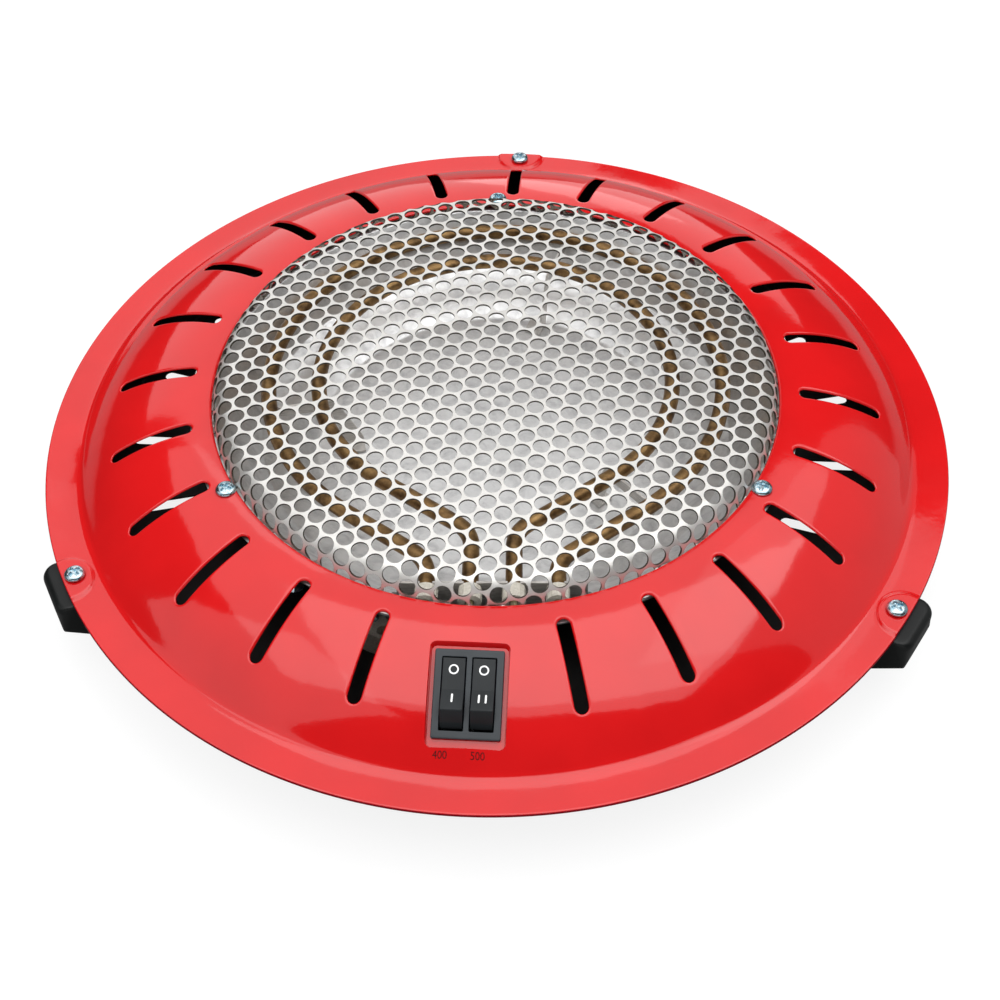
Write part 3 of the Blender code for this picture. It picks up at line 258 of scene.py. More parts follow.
def new_material(name):
    """A material with a bare Principled shader, as (material, shader)."""
    material = bpy.data.materials.new(name)
    material.use_nodes = True
    return material, material.node_tree.nodes["Principled BSDF"]


def set_stops(elements, stops):
    """Place a ramp's elements at (position, hex colour) stops."""
    while len(elements) < len(stops):
        elements.new(0.5)
    for element, (position, colour) in zip(elements, stops):
        element.position = position
        element.color = hex_rgb(colour)


def link(material, source, node, socket):
    """Link a node's socket, by name or number, to an output, or to the first output of a node."""
    output = source.outputs[0] if isinstance(source, bpy.types.Node) else source
    material.node_tree.links.new(output, node.inputs[socket])


def wire(material, node, **sources):
    """Link a node's sockets by name, with underscores for blanks, each to its source."""
    for socket, source in sources.items():
        link(material, source, node, socket.replace("_", " "))


def add_node(material, kind, settings=(), **sources):
    """Add a node, set its properties and sockets by name, and link the sockets that are given sources."""
    made = material.node_tree.nodes.new(kind)
    for key, value in dict(settings).items():
        if key == "stops":
            set_stops(made.color_ramp.elements, value)
        elif key in made.inputs:
            made.inputs[key].default_value = value
        else:
            setattr(made, key, value)
    wire(material, made, **sources)
    return made


def black_pan_paint():
    """Satin black stoving paint: even colour, with a fine dust-like grain of 0.4 mm in its gloss."""
    material, shader = new_material("black_stoving_paint")
    place = add_node(material, "ShaderNodeTexCoord").outputs["Object"]
    grain = add_node(material, "ShaderNodeTexNoise", {"Scale": 1 / 0.0012, "Detail": 4.0}, Vector=place)
    colour = add_node(material, "ShaderNodeValToRGB", {"stops": ((0.3, "#121212"), (0.7, "#1B1B1C"))},
                      Fac=grain)
    gloss = add_node(material, "ShaderNodeMapRange", {"To Min": 0.38, "To Max": 0.52}, Value=grain)
    bump = add_node(material, "ShaderNodeBump", {"Strength": 0.12, "Distance": 0.0001}, Height=grain)
    wire(material, shader, Base_Color=colour, Roughness=gloss, Normal=bump)
    return material


pan_low, pan_high = (np.array(corner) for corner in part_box("base_pan"))
PAN_TOP = pan_high[2]
PAN_FLOOR = pan_low[2] + SHEET
PAN_OUT_R = pan_high[0]
pan_wall = filleted([(PAN_BAND_OUT_R, PAN_FLOOR), (PAN_FOOT_R, PAN_FLOOR), (PAN_RIM_R, PAN_TOP),
                     (PAN_OUT_R, PAN_TOP)], PAN_BEND_RADII)
pan_band, band_quads, _ = slotted_disc(PAN_BAND_IN_R, PAN_BAND_OUT_R, set(PAD_SECTORS), PAN_SLOT_ROLL)
pan_middle, middle_quads, _ = full_rings(np.linspace(0.0, PAN_BAND_IN_R, 24))
wall_plan, wall_quads, wall_columns = full_rings(pan_wall[:, 0], fine=True)
pan_plan, pan_quads = joined((pan_band, band_quads), (pan_middle, middle_quads), (wall_plan, wall_quads))
pan_heights = np.concatenate([np.full(len(pan_band) + len(pan_middle), PAN_FLOOR),
                              np.repeat(pan_wall[:, 1], wall_columns)])
pan_points, pan_quads = weld(np.column_stack([pan_plan, pan_heights]), pan_quads)
base_pan = put_mesh("pan_tray", pan_points, turned_out(pan_points, pan_quads), black_pan_paint(), SHEET)
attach(base_pan, "heater")
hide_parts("base_pan")


# Feet. Three black nylon mouldings under the rim: a plate that the rim rests on, a grip lip outside it and
# a leg that slopes in under the pan. They are satin from the mould, with soft edges.
FOOT_WIDTH = 0.0260
FOOT_EDGE_R = 0.0014
FOOT_TOP_EDGE_R = 0.0032
FOOT_CORNER_R = 0.0055
FOOT_TOP = 0.0358
FOOT_LIP_LOW = 0.0232
FOOT_LIP_DRAFT = 0.0003
FOOT_IN_R = 0.1763
FOOT_SOLE_IN_R, FOOT_SOLE_OUT_R = 0.1504, 0.1664
FOOT_HEEL_TOP = 0.0184
FOOT_HIP_R = 0.1693
FOOT_OUT_R = {"right": 0.1966, "back": 0.1953, "left": 0.1966}
FOOT_TURN_DEG = {"right": 60.0, "back": 180.0, "left": 300.0}


def nylon(name, dark, light, gloss, shine):
    """Moulded glass-filled nylon: a very fine spark-eroded grain of 0.3 mm and a hint of colour drift."""
    material, shader = new_material(name)
    place = add_node(material, "ShaderNodeTexCoord").outputs["Object"]
    grain = add_node(material, "ShaderNodeTexNoise", {"Scale": 1 / 0.0006, "Detail": 3.0}, Vector=place)
    drift = add_node(material, "ShaderNodeTexNoise", {"Scale": 1 / 0.012, "Detail": 2.0}, Vector=place)
    colour = add_node(material, "ShaderNodeValToRGB", {"stops": ((0.3, dark), (0.7, light))}, Fac=drift)
    bump = add_node(material, "ShaderNodeBump", {"Strength": 0.18, "Distance": 0.00008}, Height=grain)
    shader.inputs["Roughness"].default_value = gloss
    shader.inputs["Specular IOR Level"].default_value = shine
    wire(material, shader, Base_Color=colour, Normal=bump)
    return material


def closed_fillets(points, radii, steps=5):
    """Round every corner of a closed outline, each by its own radius."""
    count = len(points)
    return np.concatenate([arc_between(points[i - 1], points[i], points[(i + 1) % count], radii[i], steps)
                           for i in range(count)])


def swept_side(outline, half, edge_r):
    """Carry a closed side outline across a width. Near each flank the outline shrinks on a quarter round,
    and each flank is closed by rings that shrink to its middle. Gives the rings and their offsets."""
    bend = np.linspace(0, math.pi / 2, 6)
    flank = half - edge_r + edge_r * np.sin(bend)
    right = np.concatenate([np.linspace(0, half - edge_r, 13)[:-1], flank])
    across = np.concatenate([-right[:0:-1], right])
    depth = np.clip(np.abs(across) - (half - edge_r), 0, edge_r)
    inset = edge_r - np.sqrt(np.maximum(edge_r ** 2 - depth ** 2, 0))
    follow = np.roll(outline, -1, 0) - np.roll(outline, 1, 0)
    inward = np.stack([-follow[:, 1], follow[:, 0]], -1)
    inward /= np.linalg.norm(inward, axis=1, keepdims=True)
    inward *= np.sign(((outline.mean(0) - outline) * inward).sum())
    side = outline[None] + inward[None] * inset[:, None, None]
    share = np.array([0.15, 0.5, 0.999])[:, None, None]
    first = side[0] * (1 - share) + side[0].mean(0) * share
    last = side[-1] * (1 - share) + side[-1].mean(0) * share
    rings = np.concatenate([first[::-1], side, last])
    offsets = np.concatenate([np.full(3, across[0]), across, np.full(3, across[-1])])
    return rings, offsets


def foot_shell(turn_deg, out_r):
    """Foot from its side outline, out to a radius. Its outer face draws in on a round plan corner that
    fades out towards the lip's lower edge."""
    side = [(FOOT_IN_R, FOOT_TOP), (out_r, FOOT_TOP), (out_r - FOOT_LIP_DRAFT, FOOT_LIP_LOW),
            (FOOT_SOLE_OUT_R, 0.0), (FOOT_SOLE_IN_R, 0.0), (FOOT_SOLE_IN_R, FOOT_HEEL_TOP),
            (FOOT_HIP_R, FOOT_HEEL_TOP)]
    corner_radii = [FOOT_EDGE_R, FOOT_TOP_EDGE_R] + [FOOT_EDGE_R] * 5
    rings, offsets = swept_side(closed_fillets(side, corner_radii, 8), FOOT_WIDTH / 2, FOOT_EDGE_R)
    corner = np.clip(np.abs(offsets) - (FOOT_WIDTH / 2 - FOOT_CORNER_R), 0, FOOT_CORNER_R)
    draw = FOOT_CORNER_R - np.sqrt(FOOT_CORNER_R ** 2 - corner ** 2)
    outer = np.clip((rings[..., 0] - FOOT_IN_R) / (out_r - FOOT_IN_R), 0, 1)
    upper = np.clip((rings[..., 1] - FOOT_LIP_LOW) / (FOOT_TOP - FOOT_LIP_LOW), 0, 1)
    radius = rings[..., 0] - draw[:, None] * outer * upper
    turn = math.radians(turn_deg)
    out = np.array([math.sin(turn), -math.cos(turn)])
    along = np.array([math.cos(turn), math.sin(turn)])
    plan = radius[..., None] * out + offsets[:, None, None] * along
    points = np.concatenate([plan, rings[..., 1:]], -1).reshape(-1, 3)
    return points, loop_faces(len(rings), rings.shape[1])


foot_nylon = nylon("black_moulded_nylon", "#070909", "#0D1010", 0.40, 0.35)
for side_name, turn_deg in FOOT_TURN_DEG.items():
    foot = put_mesh(f"foot_moulding_{side_name}", *foot_shell(turn_deg, FOOT_OUT_R[side_name]), foot_nylon)
    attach(foot, "heater")
    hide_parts(f"foot_{side_name}")


# Reflector bowl. Bright aluminised sheet, spun to a steep wall, a sloping ring and a flat floor. Its flange
# is screwed up under the cover with the grille. Rolling leaves it faintly streaked and blotchy.
UNIT_TURN = math.radians(3.1)
UNIT_COS, UNIT_SIN = math.cos(UNIT_TURN), math.sin(UNIT_TURN)
BOWL_FLANGE_R, BOWL_LIP_R = 0.1263, 0.1160
BOWL_BEND_RADII = (0.0008, 0.0025, 0.0035)
BOWL_COLUMNS = 240
WINDOW_HALF = 0.0373
WINDOW_Y = -0.1022


def turned_unit(points):
    """Turn points of the heater unit about Z by the unit's small angle in the cover."""
    x, y = points[..., 0], points[..., 1]
    return np.stack([x * UNIT_COS - y * UNIT_SIN, x * UNIT_SIN + y * UNIT_COS, points[..., 2]], -1)


def plan_radius(material, place):
    """Distance of a place from the Z axis."""
    flat = add_node(material, "ShaderNodeVectorMath", {"operation": "MULTIPLY"})
    link(material, place, flat, 0)
    flat.inputs[1].default_value = (1.0, 1.0, 0.0)
    return add_node(material, "ShaderNodeVectorMath", {"operation": "LENGTH"}, Vector=flat).outputs["Value"]


def aluminised():
    """Rolled aluminised steel: soft grey clouds of 8 mm with fine spangle, which blur what it mirrors. The
    floor inside the bowl is duller from dust."""
    material, shader = new_material("aluminised_steel_sheet")
    place = add_node(material, "ShaderNodeTexCoord").outputs["Object"]
    cloud = add_node(material, "ShaderNodeTexNoise", {
        "Scale": 1 / 0.008, "Detail": 6.0, "Roughness": 0.65, "Distortion": 0.6}, Vector=place)
    spangle = add_node(material, "ShaderNodeTexVoronoi", {"Scale": 1 / 0.0022}, Vector=place)
    colour = add_node(material, "ShaderNodeValToRGB", {
        "stops": ((0.30, "#D2D2D3"), (0.52, "#EFEFEF"), (0.75, "#FAFAFA"))}, Fac=cloud)
    haze = add_node(material, "ShaderNodeMapRange", {
        "From Min": 0.3, "From Max": 0.7, "To Min": 0.46, "To Max": 0.30}, Value=cloud)
    radius = plan_radius(material, place)
    dust = add_node(material, "ShaderNodeMapRange", {
        "From Min": 0.070, "From Max": 0.078, "To Min": 0.18, "To Max": 0.0}, Value=radius)
    gloss = add_node(material, "ShaderNodeMath", {"operation": "ADD"})
    link(material, haze, gloss, 0)
    link(material, dust, gloss, 1)
    relief = add_node(material, "ShaderNodeMath", {"operation": "MULTIPLY_ADD"})
    link(material, spangle, relief, 0)
    relief.inputs[1].default_value = 0.25
    link(material, cloud, relief, 2)
    bump = add_node(material, "ShaderNodeBump", {"Strength": 0.20, "Distance": 0.0004}, Height=relief)
    shader.inputs["Metallic"].default_value = 1.0
    wire(material, shader, Base_Color=colour, Roughness=gloss, Normal=bump)
    return material


def steps_between(start, end, count):
    """Even steps from one point to another, without the two."""
    return start + (end - start) * np.linspace(0, 1, count)[1:-1, None]


unit_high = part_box("reflector")[1][2]
RING_R, RING_Z = 0.0990, unit_high - 0.0203
FLOOR_R, FLOOR_Z = 0.0770, unit_high - 0.0323
WINDOW_TOP, WINDOW_LOW = unit_high - 0.0016, RING_Z - 0.001
SIDE_SNAP, FRONT_SNAP, CORNER_GAP = 0.0016, 0.0025, 0.002
bowl = filleted([(BOWL_FLANGE_R, unit_high), (BOWL_LIP_R, unit_high), (RING_R, RING_Z), (FLOOR_R, FLOOR_Z),
                 (0.0, FLOOR_Z)], BOWL_BEND_RADII, 8)
lip, ring_bend, floor_bend = bowl[:10], bowl[10:19], bowl[19:28]
floor_r = np.linspace(floor_bend[-1, 0], 0.0, 26)[1:]
bowl_line = np.concatenate([
    lip, steps_between(lip[-1], ring_bend[0], 14), ring_bend,
    steps_between(ring_bend[-1], floor_bend[0], 12), floor_bend,
    np.column_stack([floor_r, np.full(len(floor_r), FLOOR_Z)])])
bowl_turn = math.tau * np.arange(BOWL_COLUMNS) / BOWL_COLUMNS
bowl_plan = ring_plan(bowl_line[:, :1], bowl_turn)
bowl_heights = np.repeat(bowl_line[:, None, 1:], BOWL_COLUMNS, 1)
bowl_points = np.concatenate([bowl_plan, bowl_heights], -1).reshape(-1, 3)
bowl_quads = loop_faces(len(bowl_line), BOWL_COLUMNS)
middle = bowl_points[bowl_quads].mean(1)
in_window = ((np.abs(middle[:, 0]) < WINDOW_HALF) & (middle[:, 1] < WINDOW_Y)
             & (middle[:, 2] < WINDOW_TOP) & (middle[:, 2] > WINDOW_LOW))
cut_points = np.intersect1d(np.unique(bowl_quads[in_window]), np.unique(bowl_quads[~in_window]))
edge = bowl_points[cut_points]
near_side = (np.abs(np.abs(edge[:, 0]) - WINDOW_HALF) < SIDE_SNAP) & (edge[:, 1] < WINDOW_Y - CORNER_GAP)
near_front = ~near_side & (np.abs(edge[:, 1] - WINDOW_Y) < FRONT_SNAP)
edge[near_side, 0] = np.sign(edge[near_side, 0]) * WINDOW_HALF
edge[near_front, 1] = WINDOW_Y
edge_r = np.hypot(edge[:, 0], edge[:, 1])
snapped = near_side | near_front
order = np.argsort(bowl_line[:, 0])
edge[snapped, 2] = np.interp(edge_r[snapped], bowl_line[order, 0], bowl_line[order, 1])
bowl_points[cut_points] = edge
bowl_quads = bowl_quads[~in_window]
bowl_points, bowl_quads = weld(turned_unit(bowl_points), bowl_quads)
reflector = put_mesh("reflector_bowl", bowl_points, turned_out(bowl_points, bowl_quads), aluminised(), SHEET)
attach(reflector, "heater")
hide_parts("reflector")


# Element bracket and supports. Bright plated strip, blanked and folded. The bracket closes the bowl's window
# and grips the four tube ends, and three thin combs hold the loops off the bowl.
def refinish(node_names, finish):
    """Give CAD nodes that stay in view a material with the detail of the real one."""
    for node_name in node_names:
        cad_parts[node_name].data.materials.clear()
        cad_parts[node_name].data.materials.append(finish)


def plated_strip():
    """Zinc-plated strip gone dull: pale grey metal with short rolling streaks a few millimetres long."""
    material, shader = new_material("dull_zinc_strip")
    place = add_node(material, "ShaderNodeTexCoord").outputs["Object"]
    stretch = add_node(material, "ShaderNodeMapping", {"Scale": (1.0, 1.0, 6.0)}, Vector=place)
    streak = add_node(material, "ShaderNodeTexNoise", {"Scale": 1 / 0.004, "Detail": 5.0}, Vector=stretch)
    colour = add_node(material, "ShaderNodeValToRGB", {"stops": ((0.3, "#B9B5B0"), (0.7, "#DEDAD5"))},
                      Fac=streak)
    gloss = add_node(material, "ShaderNodeMapRange", {"To Min": 0.35, "To Max": 0.5}, Value=streak)
    shader.inputs["Metallic"].default_value = 0.5
    wire(material, shader, Base_Color=colour, Roughness=gloss)
    return material


refinish(("element_bracket", "element_comb_right", "element_comb_back", "element_comb_left"), plated_strip())


# Heating elements. Two mineral-filled steel tubes, each bent to a nearly closed loop with two leads that run
# to the bracket at the front. Baking in use has turned the bare steel brown, darker in patches.
TUBE_R = 0.00325
LOOP_OFFSET = 0.0105
LOOP_RADII = {"inner_element": 0.0746, "outer_element": 0.0957}
LEAD_X = {"inner_element": 0.00825, "outer_element": 0.02475}
LEAD_BEND_R = 0.014
LEAD_ANGLE = math.radians(36.6)
TUBE_END_Y = -0.1041
TUBE_SIDES = 20


def heated_steel():
    """Heat-tinted steel: brown oxide with darker bands 6 mm long round the tube and a dull sheen."""
    material, shader = new_material("heat_tinted_steel")
    place = add_node(material, "ShaderNodeTexCoord").outputs["Object"]
    band = add_node(material, "ShaderNodeTexNoise", {"Scale": 1 / 0.006, "Detail": 5.0, "Roughness": 0.6},
                    Vector=place)
    speck = add_node(material, "ShaderNodeTexNoise", {"Scale": 1 / 0.0008, "Detail": 2.0}, Vector=place)
    colour = add_node(material, "ShaderNodeValToRGB", {
        "stops": ((0.30, "#54402A"), (0.50, "#8A6B45"), (0.70, "#B08E5E"))}, Fac=band)
    gloss = add_node(material, "ShaderNodeMapRange", {"To Min": 0.30, "To Max": 0.48}, Value=speck)
    bump = add_node(material, "ShaderNodeBump", {"Strength": 0.10, "Distance": 0.0001}, Height=speck)
    shader.inputs["Metallic"].default_value = 0.85
    wire(material, shader, Base_Color=colour, Roughness=gloss, Normal=bump)
    return material


def element_line(loop_r, lead_x):
    """Tube axis in plan: a straight lead, a bend, a straight that touches the loop, and the loop's arc,
    mirrored for the second half."""
    leave = np.array([math.sin(LEAD_ANGLE), -math.cos(LEAD_ANGLE)])
    touch = np.array([0, LOOP_OFFSET]) + loop_r * leave
    along = np.array([-math.cos(LEAD_ANGLE), -math.sin(LEAD_ANGLE)])
    bend_x = lead_x + LEAD_BEND_R * (1 - math.sin(LEAD_ANGLE))
    start = touch + along * (touch[0] - bend_x) / math.cos(LEAD_ANGLE)
    middle = start + LEAD_BEND_R * leave
    turn = np.linspace(math.pi, math.pi / 2 + LEAD_ANGLE, 16)[:, None]
    bend = middle + LEAD_BEND_R * np.concatenate([np.cos(turn), np.sin(turn)], 1)
    lead = np.column_stack([np.full(8, lead_x), np.linspace(TUBE_END_Y, bend[0, 1], 9)[:-1]])
    straight = steps_between(start, touch, 12)
    sweep = np.linspace(LEAD_ANGLE, math.tau - LEAD_ANGLE, 240)[:, None]
    loop = np.array([0, LOOP_OFFSET]) + loop_r * np.concatenate([np.sin(sweep), -np.cos(sweep)], 1)
    half = np.concatenate([lead, bend, straight])
    return np.concatenate([half, loop, half[::-1] * np.array([-1, 1])])


def tube_round(line, height, radius, sides):
    """Circles of points about each point of a flat line, square to its direction, closed at both ends."""
    ahead = np.gradient(line, axis=0)
    ahead /= np.linalg.norm(ahead, axis=1, keepdims=True)
    across = np.stack([ahead[:, 1], -ahead[:, 0]], -1)
    turn = math.tau * np.arange(sides) / sides
    flat = line[:, None] + across[:, None] * (radius * np.cos(turn))[None, :, None]
    tall = np.broadcast_to(height + radius * np.sin(turn), flat.shape[:2])
    rings = np.concatenate([flat, tall[..., None]], -1)
    ends = [ring.mean(0) + (ring - ring.mean(0)) * share for ring, share in
            ((rings[0], 1e-3), (rings[0], 0.9), (rings[-1], 0.9), (rings[-1], 1e-3))]
    rings = np.concatenate([np.stack(ends[:2]), rings, np.stack(ends[2:])])
    return rings.reshape(-1, 3), loop_faces(len(rings), sides)


element_steel = heated_steel()
for node_name, loop_r in LOOP_RADII.items():
    low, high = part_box(node_name)
    line = element_line(loop_r, LEAD_X[node_name])
    tube, quads = tube_round(line, (low[2] + high[2]) / 2, TUBE_R, TUBE_SIDES)
    element = put_mesh(f"{node_name}_tube", turned_unit(tube), quads, element_steel)
    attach(element, "heater")
    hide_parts(node_name)


# Element ends. A glazed ceramic bush closes each tube, and a tinned brass pin stands out of it for the wire.
# The spades on the switch are of the same tinned brass, and the terminal block is of the same ceramic.
def mottled(name, size, detail, stops, gloss, metallic=0.0):
    """A finish whose only pattern is a fine mottle, of a size in metres."""
    material, shader = new_material(name)
    place = add_node(material, "ShaderNodeTexCoord").outputs["Object"]
    mottle = add_node(material, "ShaderNodeTexNoise", {"Scale": 1 / size, "Detail": detail}, Vector=place)
    colour = add_node(material, "ShaderNodeValToRGB", {"stops": stops}, Fac=mottle)
    shader.inputs["Metallic"].default_value = metallic
    shader.inputs["Roughness"].default_value = gloss
    wire(material, shader, Base_Color=colour)
    return material


# Glazed steatite is off-white and slightly speckled, with a soft gloss.
bush_ceramic = mottled("glazed_steatite", 0.0009, 3.0, ((0.3, "#CFC9BB"), (0.7, "#E6E1D5")), 0.35)
# Tinned brass is a pale warm metal with a fine drawn grain.
terminal_brass = mottled("tinned_brass", 0.001, 3.0, ((0.3, "#B9AB84"), (0.7, "#DAD0B0")), 0.30, 1.0)
END_NAMES = ("outer_left", "inner_left", "inner_right", "outer_right")
SPADE_NAMES = ("left_in", "left_out", "right_in", "right_out")
refinish([f"terminal_bush_{end}" for end in END_NAMES] + ["terminal_block"], bush_ceramic)
refinish([f"terminal_pin_{end}" for end in END_NAMES], terminal_brass)
refinish([f"switch_spade_{end}" for end in SPADE_NAMES], terminal_brass)


# Grille. Light plated sheet, punched all over with 6.8 mm holes on a staggered pitch of 7.93 mm, then drawn
# to a low crown with a round shoulder. Its flange lies between the cover and the reflector's flange.
HOLE_PITCH = 0.00793
HOLE_R = 0.0034
HOLE_BURR = 0.00008
ROW_TURN = math.radians(17.0)
FIRST_HOLE = np.array([0.00276, 0.00420])
BLANK_R = 0.1262
HOLE_SIDES = 18
ROWS_EACH_WAY = 24
MARGIN_SHARE, EDGE_SHARE = 0.62, 0.1
CLOSED_R = 0.0002
CROWN_R = 0.1085
CROWN_SAG, CROWN_SAG_R = 0.0046, 0.112
SHOULDER_R = 0.0082
FLANGE_IN_R, FLANGE_OUT_R = 0.1172, 0.1300
grille_low, grille_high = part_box("grille")
FLANGE_Z = grille_low[2] + SHEET
CROWN_Z = grille_high[2]
# A colour Mix node's sockets share their names with those of its other types, so they go by number.
MIX_FIRST_COLOUR, MIX_SECOND_COLOUR, MIX_COLOUR_OUT = 6, 7, 2


def grille_section():
    """Top skin of the pressed grille as (radius, height): a parabola, a round shoulder, and the flange."""
    crown = np.linspace(0, CROWN_R, 60)
    top = CROWN_Z - CROWN_SAG * (crown / CROWN_SAG_R) ** 2
    bend = np.linspace(0, math.pi / 2, 20)[1:]
    drop = top[-1] - FLANGE_Z
    shoulder = np.column_stack([crown[-1] + SHOULDER_R * np.sin(bend), FLANGE_Z + drop * np.cos(bend)])
    flange = np.column_stack([np.linspace(FLANGE_IN_R, FLANGE_OUT_R, 8), np.full(8, FLANGE_Z)])
    return np.concatenate([np.column_stack([crown, top]), shoulder, flange])


def pressed(plan):
    """Lay plan points of the flat blank on the pressed form: the way out from the middle is measured
    along the form's section. Gives the points, that way at each point of the section, and the section."""
    section = grille_section()
    run = np.concatenate([[0], np.cumsum(np.hypot(*np.diff(section, axis=0).T))])
    away = np.hypot(plan[..., 0], plan[..., 1])
    radius = np.interp(away, run, section[:, 0])
    height = np.interp(away, run, section[:, 1])
    share = np.where(away > 0, radius / np.maximum(away, 1e-9), 1.0)
    return np.concatenate([plan * share[..., None], height[..., None]], -1), run, section


def hole_cells():
    """Six-sided cells round every hole of the staggered pattern: the hole's edge, its burr's width and the
    cell's border, which meets its neighbours' borders. Cells at the blank's edge have closed holes."""
    along = HOLE_PITCH * np.array([math.cos(ROW_TURN), math.sin(ROW_TURN)])
    across = HOLE_PITCH * np.array([math.cos(ROW_TURN + math.pi / 3), math.sin(ROW_TURN + math.pi / 3)])
    step = np.arange(-ROWS_EACH_WAY, ROWS_EACH_WAY + 1)
    first, second = np.meshgrid(step, step)
    centres = FIRST_HOLE + first.reshape(-1, 1) * along + second.reshape(-1, 1) * across
    _, run, section = pressed(np.zeros((1, 2)))
    blank = np.interp(BLANK_R, section[:, 0], run)
    centres = centres[np.hypot(*centres.T) < blank - HOLE_PITCH * EDGE_SHARE]
    away = np.hypot(*centres.T)
    turn = ROW_TURN + math.pi / 6 + math.tau * np.arange(HOLE_SIDES) / HOLE_SIDES
    circle = np.stack([np.cos(turn), np.sin(turn)], -1)
    corner_r = HOLE_PITCH / math.sqrt(3)
    bearing = (turn - ROW_TURN + math.pi / 6) % (math.pi / 3) - math.pi / 6
    border = circle * (corner_r * math.cos(math.pi / 6) / np.cos(bearing))[:, None]
    open_r = np.where(away < blank - HOLE_PITCH * MARGIN_SHARE, HOLE_R, CLOSED_R)
    rings = [centres[:, None] + circle * (open_r + grow)[:, None, None] for grow in (0.0, HOLE_BURR)]
    rings.append(np.broadcast_to(centres[:, None] + border, rings[0].shape))
    cells = np.stack(rings, 1)
    reach = np.hypot(cells[..., 0], cells[..., 1])
    return cells * np.minimum(1.0, blank / np.maximum(reach, 1e-9))[..., None]


def grille_plate():
    """Lofted cells of the punched blank, welded and pressed, with the hole's edge marked in a fourth
    column for painted shade."""
    cells = hole_cells()
    count, rings, sides = cells.shape[:3]
    points, _, _ = pressed(cells.reshape(-1, 2))
    points = np.pad(points, ((0, 0), (0, 1))).reshape(count, rings, sides, 4)
    # The hole's edge ring is marked for painted shade.
    points[:, 0, :, 3] = 1.0
    starts = np.arange(count)[:, None, None] * rings * sides
    return weld(points.reshape(-1, 4), (loop_faces(rings, sides)[None] + starts).reshape(-1, 4))


def plated_grille():
    """Satin-bright plated steel: pale warm metal, with clouds of 10 mm in its colour and its gloss. The
    edges of the holes are darkened with painted shade, for the hole's wall in shadow."""
    material, shader = new_material("satin_plated_steel")
    place = add_node(material, "ShaderNodeTexCoord").outputs["Object"]
    cloud = add_node(material, "ShaderNodeTexNoise", {"Scale": 1 / 0.010, "Detail": 5.0}, Vector=place)
    colour = add_node(material, "ShaderNodeValToRGB", {"stops": ((0.3, "#D9D7D3"), (0.7, "#E8E6E2"))},
                      Fac=cloud)
    # Painted shade: the marked ring at each hole's edge is mixed towards dark #5A554E.
    sheared = add_node(material, "ShaderNodeAttribute", {"attribute_name": "sheared"})
    shade = add_node(material, "ShaderNodeMix", {"data_type": "RGBA"}, Factor=sheared.outputs["Fac"])
    link(material, colour, shade, MIX_FIRST_COLOUR)
    shade.inputs[MIX_SECOND_COLOUR].default_value = hex_rgb("#5A554E")
    gloss = add_node(material, "ShaderNodeMapRange", {"To Min": 0.44, "To Max": 0.54}, Value=cloud)
    shader.inputs["Metallic"].default_value = 0.85
    wire(material, shader, Base_Color=shade.outputs[MIX_COLOUR_OUT], Roughness=gloss)
    return material


grille_points, grille_quads = grille_plate()
grille_edge_shade = grille_points[:, 3]
grille_points = turned_unit(grille_points[:, :3])
grille_quads = turned_out(grille_points, grille_quads)
grille = put_mesh("grille_plate", grille_points, grille_quads, plated_grille(), SHEET, 50.0, grille_edge_shade)
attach(grille, "heater")
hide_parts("grille")


# Top cover. Deep-drawn steel sheet with a round dome band, a flat rim and a turned-down edge, punched with
# 23 slots whose edges roll in, and a pocket for the switch. Dipped and baked in glossy red enamel.
COVER_R = 0.190
RIM_Z = 0.038
CREASE_R = 0.1751
DOME_RISE = 0.025
DOME_ARC_R = 0.0745
OPENING_R = 0.1172
BAND_IN_R, BAND_OUT_R = 0.1210, 0.1690
EDGE_ROLL = 0.0009
CREASE_SOFT = 0.0021
CREASE_FADE = 0.012
CREASE_SINK = 0.6
DOME_APEX_R = CREASE_R - math.sqrt(DOME_ARC_R ** 2 - (DOME_ARC_R - DOME_RISE) ** 2)
SWITCH_R = 0.15045
SWITCH_Z = 0.0538136
SWITCH_TILT = math.radians(25.4103)
POCKET_HALF = np.array([0.01425, 0.0188])
POCKET_SHIFT = 0.00005
POCKET_CORNER = 0.0022
POCKET_DEPTH = 0.0023
POCKET_WALL = 0.0006
POCKET_LEAN_FROM, POCKET_LEAN_RUN = 0.0008, 0.0012
POCKET_GROWS = (-0.0033, -0.0020, -0.0008, -0.0004, -0.0003, -0.00015, 0.0, 0.00015, 0.0003, 0.0004,
                0.0006, 0.0008)
PAD_MID_R = 0.1878
PAD_R = 0.0106
PAD_LENGTH_SHARE = 1.07
PAD_WALL = 0.0017
PAD_RISE = 0.0012
LIP_R = 0.0005
LIP_DEPTH = 0.0012
LIP_DRAFT = 0.00004
OPENING_OUTER_R = (0.1190, 0.1200, BAND_IN_R)
RIM_STEPS = 42


def smooth_step(value):
    """Ease from 0 to 1 along 3v^2 - 2v^3."""
    value = np.clip(value, 0, 1)
    return value * value * (3 - 2 * value)


def dome_height(radius):
    """Skin of the cover: a circle's arc on the band and a flat rim. A smooth maximum blends the two heights
    where they meet, and part of the rise that it adds is taken off again, less and less up the dome."""
    drop = np.sqrt(np.maximum(DOME_ARC_R ** 2 - (radius - DOME_APEX_R) ** 2, 0))
    gap = DOME_RISE - DOME_ARC_R + drop
    sink = CREASE_SOFT / 2 * np.clip(1 - gap / CREASE_FADE, 0, 1) * CREASE_SINK
    return RIM_Z + (gap + np.sqrt(gap ** 2 + CREASE_SOFT ** 2)) / 2 - sink


def box_distance(across, along, half, corner):
    """Signed distance to a rectangle with round corners, negative inside."""
    dx, dy = np.abs(across) - (half[0] - corner), np.abs(along) - (half[1] - corner)
    outside = np.hypot(np.maximum(dx, 0), np.maximum(dy, 0))
    return outside + np.minimum(np.maximum(dx, dy), 0) - corner


